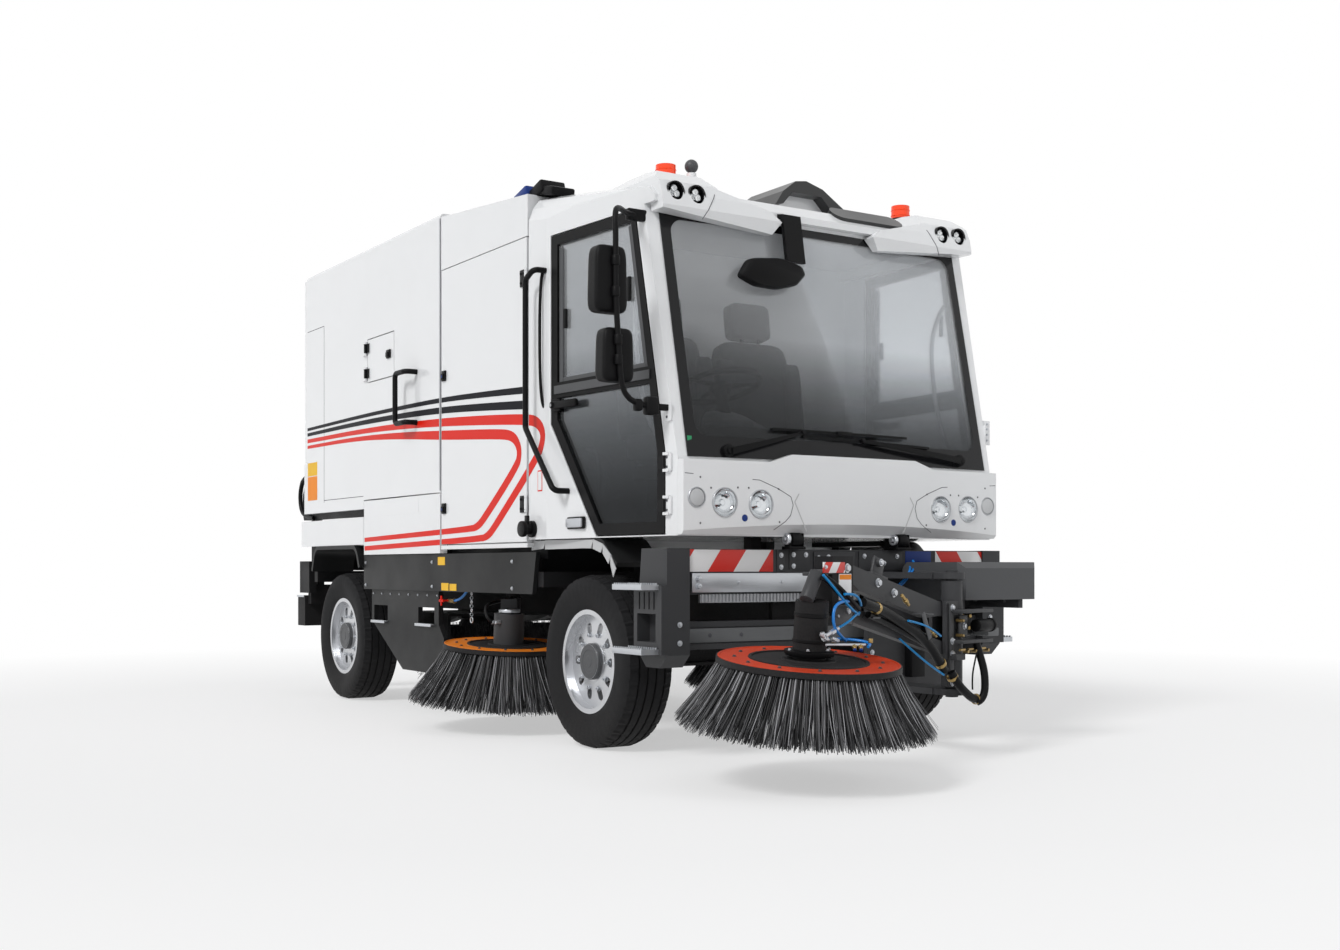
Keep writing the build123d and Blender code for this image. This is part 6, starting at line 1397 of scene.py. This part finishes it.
def head_details():
    head = {"body": "brush_head"}
    part("head_sign", WHITE, arm_box((0.935, 0.045, 0.765), (1.028, 0.049, 0.876), 0.001), **head)
    part("head_sign_top", ORANGE_FILM, arm_box((0.938, 0.0485, 0.852), (1.025, 0.0498, 0.873), 0.0), **head)
    part("head_stripes", WARNING_SMALL, arm_box((0.985, 0.045, 0.880), (1.145, 0.050, 0.925), 0.001), **head)
    part("head_plate", MID_GREY, arm_box((0.930, 0.045, 0.662), (1.060, 0.052, 0.745), 0.006),
         arm_box((1.045, -0.04, 0.875), (1.115, 0.045, 0.895), 0.004), **head)
    arm_bolts("head_bolts", [(0.963, z, 0.045) for z in (0.900, 0.720)], 0.015, 0.010, **head)
    arm_bolts("head_small_bolts", [(1.130, 0.905, 0.050), (1.042, 0.700, 0.050)], 0.007, **head)
    # motor sleeve, its flange and the slanted damper above
    spindle, centre = Vector(tilted(FRONT_TILT)), Vector(FRONT_BRUSH)
    bands = [lathe(centre, spindle,
                   [(0.070, low), (0.073, low + 0.003), (0.073, high - 0.003), (0.070, high)], 48)
             for low, high in ((0.075, 0.090), (0.180, 0.200))]
    part("motor_sleeve", PLASTIC, lathe(centre, spindle, [
        (0.071, 0.020), (0.100, 0.020), (0.104, 0.026), (0.104, 0.040), (0.071, 0.044)], 48), *bands,
        lathe(centre, spindle, [(0.070, 0.246), (0.060, 0.252), (0.030, 0.256), (0.0, 0.256)], 48), **head)
    bolts("motor_bolts", [(centre + spindle * 0.042 + Vector((math.cos(a), math.sin(a), 0)) * 0.090, spindle)
                          for a in (0.3, 1.35, 2.4, 3.45, 4.5, 5.55)], 0.006, **head)
    start, end = at_arm(1.262, 0.770, 0.045), at_arm(1.180, 0.880, 0.040)
    part("head_damper", DARK, rod(start, end - start, 0.030, (end - start).length, sides=28, soften=0.005),
         arm_box((1.100, -0.02, 0.868), (1.200, 0.045, 0.884), 0.004), **head)
    for name, radius, material, points in (
            ("head_hose_a", 0.011, PLASTIC, (
                (1.205, 0.860, 0.082), (1.170, 0.850, 0.088), (1.080, 0.782, 0.096), (0.995, 0.752, 0.094),
                (0.950, 0.745, 0.075))),
            ("head_hose_b", 0.010, PLASTIC, (
                (1.180, 0.872, 0.072), (1.120, 0.835, 0.096), (1.020, 0.760, 0.110), (0.940, 0.728, 0.090))),
            ("head_line_cyan_a", 0.0055, CYAN, (
                (1.212, 0.872, 0.094), (1.150, 0.822, 0.104), (1.060, 0.748, 0.110), (0.985, 0.712, 0.104),
                (0.935, 0.705, 0.085))),
            ("head_line_cyan_b", 0.0055, CYAN, (
                (1.085, 0.792, 0.112), (1.030, 0.795, 0.118), (0.965, 0.770, 0.112), (0.925, 0.742, 0.090))),
            ("head_line_cyan_c", 0.0055, CYAN, (
                (1.115, 0.655, 0.105), (1.060, 0.672, 0.112), (0.990, 0.706, 0.108), (0.930, 0.712, 0.085))),
            ("head_line_blue", 0.0065, AZURE, (
                (1.030, 0.762, 0.098), (1.090, 0.766, 0.108), (1.165, 0.740, 0.112), (1.165, 0.660, 0.112),
                (1.110, 0.622, 0.110), (1.062, 0.598, 0.105)))):
        arm_tube(name, points, radius, "brush_head", material)
    fittings = []
    for s0, z0, s1, z1, r in ((1.215, 0.622, 1.120, 0.652, 0.009), (1.195, 0.606, 1.230, 0.618, 0.010),
                              (1.230, 0.618, 1.236, 0.640, 0.010), (1.120, 0.600, 1.170, 0.612, 0.009)):
        start, run = at_arm(s0, z0, 0.105), at_arm(s1, z1, 0.105) - at_arm(s0, z0, 0.105)
        fittings += [rod(start, run, r, run.length, sides=16, soften=0.001),
                     rod(start + run * 0.4, run, r * 1.4, run.length * 0.3, sides=6)]
    part("head_fittings", STEEL, *fittings, **head)


def spray_details():
    """Spray bar in front of the brush's motor, fed by a blue loop."""
    head = {"body": "brush_head"}
    middle, beside, behind = (Vector(v)
                              for v in ((2.712, -0.812, 0.0), (0.5446, 0.8387, 0.0), (-0.8387, 0.5446, 0.0)))
    turns = [math.radians(v) for v in range(-25, 206, 23)]
    tube("spray_loop", [middle + beside * 0.150 * math.cos(a) + behind * (0.060 * math.sin(a) - 0.035)
                        + UP * (0.586 + 0.020 * math.sin(a)) for a in turns], 0.0065, "brush_head", AZURE)
    spray = frame_of(beside, behind, middle)
    part("spray_bar", STEEL, framed_box(spray, (-0.125, -0.045, 0.580), (0.130, -0.028, 0.590), 0.002),
         framed_box(spray, (-0.060, -0.030, 0.574), (-0.030, 0.070, 0.580), 0.002), **head)
    brass, tips = [], []
    out = (spray.to_3x3() @ Vector((0, -0.75, -0.66))).normalized()
    for along in (-0.105, -0.078, 0.082, 0.108):
        foot = spray @ Vector((along, -0.036, 0.584))
        brass += [rod(foot, out, 0.0085, 0.026, sides=16, soften=0.001),
                  rod(foot + out * 0.008, out, 0.0115, 0.009, sides=6, soften=0.001)]
        tips.append(rod(foot + out * 0.026, out, 0.0075, 0.009, sides=16, soften=0.001))
    brass += [rod(spray @ Vector((along, -0.030, 0.592)), UP, 0.010, 0.018, sides=16, soften=0.001)
              for along in (-0.150, 0.0, 0.150)]
    part("nozzles", BRASS, *brass, **head)
    part("nozzle_tips", BLUE, *tips, **head)


def root_details():
    post = {"body": "swing_post"}
    part("root_plates", DARK, arm_box((0.082, 0.047, 0.345), (0.116, 0.058, 0.735), 0.003),
         arm_box((-0.190, 0.058, 0.690), (0.100, 0.118, 0.706), 0.003),
         arm_box((-0.190, 0.058, 0.548), (0.100, 0.118, 0.564), 0.003),
         arm_box((-0.020, 0.062, 0.572), (0.055, 0.074, 0.680), 0.012),
         arm_box((0.030, 0.048, 0.470), (0.112, 0.090, 0.500), 0.003), **post)
    arm_bolts("root_bolts",
              [(0.099, z, 0.058) for z in (0.715, 0.560, 0.500, 0.365)] + [(0.015, 0.628, 0.074)],
              0.012, 0.009, **post)
    fittings = []
    for z in (0.655, 0.585):
        fittings += [arm_rod(0.060, z, 0.058, 0.008, 0.030, sides=6),
                     arm_rod(0.060, z, 0.086, 0.006, 0.012, sides=16)]
    for s in (0.045, -0.030, -0.150):
        fittings += [arm_rod(s, 0.510, 0.085, 0.008, 0.030, sides=6),
                     rod(at_arm(s + 0.020, 0.520, 0.105), ARM_DIR, 0.006, 0.045, sides=12)]
    part("root_fittings", BRASS, *fittings, **post)
    part("swing_cylinder", PLASTIC,
         rod(at_arm(-0.055, 0.628, 0.095), -ARM_DIR, 0.030, 0.150, sides=32, soften=0.004),
         rod(at_arm(-0.190, 0.628, 0.095), -ARM_DIR, 0.034, 0.018, sides=32, soften=0.003), **post)
    for name, radius, points in (
            ("post_hose_a", 0.020, (
                (0.165, 0.420, 0.090), (0.136, 0.368, 0.104), (0.070, 0.320, 0.112), (0.000, 0.285, 0.114),
                (-0.040, 0.285, 0.112))),
            ("post_hose_b", 0.018, (
                (-0.026, 0.270, 0.120), (-0.055, 0.284, 0.143), (-0.064, 0.400, 0.142),
                (-0.062, 0.500, 0.112),
                (-0.056, 0.545, 0.100))),
            ("post_line", 0.004, (
                (-0.060, 0.545, 0.110), (-0.010, 0.470, 0.118), (0.010, 0.390, 0.112),
                (0.000, 0.330, 0.110)))):
        arm_tube(name, points, radius, "swing_post")
    clamps("post_clamps", [(at_arm(0.150, 0.396, 0.088), arm_way(0.6, 0.75), 0.026, 0.016),
                           (at_arm(-0.028, 0.284, 0.112), ARM_DIR, 0.024, 0.014)], "swing_post")


CARRIER_X = 1.842


def carrier_details():
    """Block of valves on the carrier with its lines, and the rails under the cover."""
    part("valve_block", PLASTIC, box((CARRIER_X, 0.470, 0.560), (2.040, 0.640, 0.700), 0.010),
         box((CARRIER_X, 0.360, 0.350), (1.900, 0.450, 0.520), 0.006))
    part("valve_fittings", BRASS, *[
        rod((2.038, y, z), FORWARD, 0.010, depth, sides=6, soften=0.001)
        for y in (0.500, 0.550, 0.600) for z, depth in ((0.660, 0.030), (0.600, 0.024))])
    part("carrier_tab", DULL_SHEET, box((CARRIER_X, 0.660, 0.560), (2.130, 0.735, 0.600)))
    part("cover_rails", DARK, *[rod((x, y, 0.726), UP, 0.012, 0.020, sides=16) for x in (1.90, 2.10)
                                for y in (0.42, 0.80)],
         *[box((CARRIER_X, y, 0.700), (2.200, y + 0.030, 0.744), 0.002) for y in (0.400, 0.800)])
    for index, (y, lift) in enumerate(((0.235, 0.0), (0.262, 0.012))):
        tube(f"carrier_line_{index}", [
            (1.845, y, 0.790), (1.900, y + 0.010, 0.800), (1.930, y + 0.050, 0.845 + lift),
            (1.915, y + 0.110, 0.900 + lift), (1.860, y + 0.140, 0.925 + lift)], 0.006, material=AZURE)
    bolts_at("carrier_bolts", 1.840, [(y, z) for y in (0.150, 0.730) for z in (0.350, 0.480, 0.840)], 0.010)


link_details()
head_details()
spray_details()
root_details()
carrier_details()


# ---------------------------------------------------------------- skirts, guards, side brush gear
SKIRT_OUT = 1.060
TAP_Z = 0.706
CHAIN_X, CHAIN_OUT = -0.331, 1.010
LIP = [(0.470, 1.022), (0.620, 1.026), (1.120, 1.024), (1.215, 1.000), (1.290, 0.945), (1.335, 0.880)]


def add_arch_highlight(shape, side):
    """Painted highlight along the lip of the front wheel arch."""
    for (x0, z0), (x1, z1) in zip(LIP, LIP[1:]):
        outline = ((x0, z0 + 0.020), (x1 + 0.006, z1 + 0.018), (x1 - 0.020, z1 - 0.024), (x0, z0 - 0.028))
        add_prism(shape, [[(x, side * out, z) for x, z in outline] for out in (1.0362, 1.0402)])
    bmesh.ops.remove_doubles(shape, verts=shape.verts, dist=0.0001)
    bmesh.ops.recalc_face_normals(shape, faces=shape.faces)


def skirt_details(name, side):
    out = (0, side, 0)
    bolts("skirt_bolts_" + name, [((x, side * SKIRT_OUT, z), out) for x in (-1.844, -0.776, 0.281)
                                  for z in (0.936, 0.790)], 0.008, 0.005)
    part("skirt_tags_" + name, YELLOW_FILM, *[label(low, high, side, 1.0612) for low, high in (
        ((-0.690, 0.918), (-0.590, 0.966)), ((-0.640, 0.768), (-0.540, 0.812)),
        ((-0.524, 0.768), (-0.430, 0.808)))])
    lips = []
    for x0, x1 in ((-1.760, -1.530), (-1.040, -0.800)):
        lips += [box((x0, side * 1.033, 0.553), (x1, side * 1.060, 0.562), 0.002),
                 box((x0, side * 1.056, 0.545), (x1, side * 1.061, 0.562), 0.001)]
    part("guard_lips_" + name, STEEL, *lips)
    bolts("guard_bolts_" + name, [((-1.770 + 0.145 * k, side * 1.035, 0.735), out) for k in range(8)],
          0.005, 0.004)
    # painted highlight: a pale strip on the dark fender where light catches the arch's edge
    part("arch_highlight_" + name, PALE, step(add_arch_highlight)(side), slot="dark_paint")
    # red tap with its hose, chain with a spring hook
    part("tap_handle_" + name, RED, rod((-0.660, side * 1.000, TAP_Z), out, 0.006, 0.050, sides=12),
         box((-0.690, side * 1.046, 0.698), (-0.632, side * 1.056, 0.714)),
         box((-0.668, side * 1.046, 0.676), (-0.654, side * 1.056, 0.736)), slot="black_plastic")
    part("tap_body_" + name, BRASS,
         rod((-0.680, side * 0.995, TAP_Z), FORWARD, 0.013, 0.075, sides=20, soften=0.002),
         rod((-0.612, side * 0.995, TAP_Z), FORWARD, 0.017, 0.018, sides=6, soften=0.001))
    tube("tap_hose_" + name, [(x, side * y, z) for x, y, z in (
        (-0.600, 0.995, TAP_Z), (-0.545, 0.995, 0.712), (-0.480, 0.990, 0.735), (-0.440, 0.985, 0.770))],
         0.008, material=AZURE)
    links = [lathe((CHAIN_X, side * CHAIN_OUT, 0.752 - 0.024 * k), (1, 0, 0) if k % 2 else (0, 1, 0),
                   circle(0.009, 0.0025, 6), 12) for k in range(6)]
    part("chain_" + name, STEEL, *links,
         lathe((CHAIN_X, side * CHAIN_OUT, 0.600), (0, 1, 0), circle(0.016, 0.003, 6), 20))
    # bolts, hose and fittings on the side arm
    own = {"body": "side_arm_" + name}
    run = Vector((0.510, side * 0.290, 0)).normalized()
    face = Vector((-run.y * side, run.x * side, 0))
    start = Vector((-0.530, side * 0.640, 0))
    bolts("side_arm_bolts_" + name, [(start + run * s + face * 0.013 + UP * z, face) for z in (0.560, 0.690)
                                     for s in (0.085, 0.150, 0.260, 0.420, 0.480)], **own)
    top = Vector((SIDE_BRUSH_X, side * SIDE_BRUSH_Y, SIDE_BRUSH_Z)) + Vector(tilted(SIDE_TILT)) * 0.178
    part("side_motor_fittings_" + name, STEEL, rod(top, UP, 0.060, 0.020, sides=32, soften=0.003),
         *[rod(top + Vector((x, side * y, -0.05)), out, 0.012, 0.030, sides=6, soften=0.001)
           for x, y in ((0.0, 0.080), (0.035, 0.075))], **own)
    loop = [top + Vector((x, side * y, z)) for x, y, z in (
        (0.0, 0.105, -0.05), (-0.005, 0.135, -0.03), (-0.060, 0.120, 0.030), (-0.140, 0.060, 0.050))]
    tube("side_motor_hose_" + name, loop + [start + run * s + UP * 0.722 for s in (0.36, 0.10)], 0.010, **own)


for side_name, side in SIDES.items():
    skirt_details(side_name, side)


# ---------------------------------------------------------------- rear
REAR_X = -3.200
GATE_X = -2.989


def rear_details():
    for name, side in SIDES.items():
        part("rear_strip_" + name, STEEL,
             box((REAR_X, side * 1.058, 0.688), (-3.052, side * 1.064, 0.702), 0.001))
        red, orange = [[box((REAR_X - 0.006, side * y0, 0.520), (REAR_X, side * y1, 0.660))
                        for y0, y1 in runs]
                       for runs in (((0.730, 0.830), (0.930, 1.030)), ((0.835, 0.925),))]
        part("tail_lamps_" + name, RED, *red, slot="lens")
        part("turn_lamps_" + name, ORANGE_FILM, *orange, slot="lens")
        if side == SIDES["right"]:
            beam_plate("rear_plate", WHITE, -0.60, -0.10, 0.650, 0.770, -3.0515, 0.0012)
    bolts("jaw_bolts", [((-3.0665, y, z), BACKWARD) for y in (-0.070, 0.070) for z in (0.690, 0.730)], 0.008)


def tailgate_details():
    """Latches, handle, blank plate, lamps and reflectors on the hopper's rear door."""
    gate = {"body": "tailgate"}

    def gate_box(inner, outer, y0, y1, z0, z1, soften):
        return box((GATE_X - inner, y0, z0), (GATE_X - outer, y1, z1), soften)

    steel, black, red, white = [], [], [], []
    for side in SIDES.values():
        steel += [gate_box(0.0, 0.008, side * 0.775, side * 0.860, 1.400, 1.540, 0.002),
                  rod((-3.002, side * 0.800, 1.415), UP, 0.008, 0.110),
                  gate_box(0.006, 0.027, side * 0.792, side * 0.808, 1.470, 1.560, 0.003)]
        red += [rod((GATE_X, side * 0.660, 1.470), BACKWARD, 0.038, 0.008, sides=36, soften=0.002),
                gate_box(0.013, 0.023, side * 0.945, side * 0.990, 2.745, 2.790, 0.003)]
        white.append(gate_box(0.013, 0.023, side * 0.995, side * 1.030, 2.745, 2.790, 0.003))
        black += [gate_box(0.0, 0.015, side * 0.935, side * 1.040, 2.735, 2.800, 0.004),
                  gate_box(0.0, 0.005, side * 0.899, side * 0.911, 1.400, 1.650, 0.001)]
    black += [gate_box(0.0, 0.004, -0.290, 0.290, 1.740, 1.875, 0.002),
              gate_box(0.0, 0.025, -0.060, 0.060, 1.878, 1.902, 0.004),
              gate_box(0.0, 0.041, -0.070, 0.070, 2.700, 2.790, 0.012)]
    white.append(gate_box(0.003, 0.006, -0.275, 0.275, 1.752, 1.863, 0.001))
    part("gate_latches", STEEL, *steel, **gate)
    part("gate_fittings", PLASTIC, *black, **gate)
    part("gate_reflectors", RED, *red, slot="lens", **gate)
    part("gate_plates", WHITE, *white, **gate)
    tube("gate_handle", [(-2.985, -0.230, 1.480), (-3.026, -0.225, 1.480), (-3.034, -0.190, 1.480),
                         (-3.034, 0.190, 1.480), (-3.026, 0.225, 1.480), (-2.985, 0.230, 1.480)],
         0.011, "tailgate")
    bolts("gate_bolts", [((-2.990, side * y, z), BACKWARD) for side in SIDES.values() for y in (0.30, 0.86)
                         for z in (1.95, 2.40, 2.66)], 0.007, 0.004, **gate)


def shade_sheets():
    """Dark sheets behind the narrow gaps between the body, its skirts and the wheels, as painted shade where
    the gaps would otherwise show the backdrop.
    """
    long_sheets = [box((-1.830, side * 0.985, 0.950), (0.560, side * 0.992, 1.060), 0)
                   for side in SIDES.values()]
    cross_sheets = [box((x, -half, low), (x + 0.006, half, high), 0)
                    for x, low, high, half in ((0.400, 0.800, 1.009, 0.930), (-2.870, 0.884, 1.040, 0.960))]
    # painted shade: dark sheets that stand for the shadowed inside seen through the gaps
    part("shade_sheets", CHASSIS, *long_sheets, *cross_sheets, slot="chassis_paint")


rear_details()
tailgate_details()
shade_sheets()
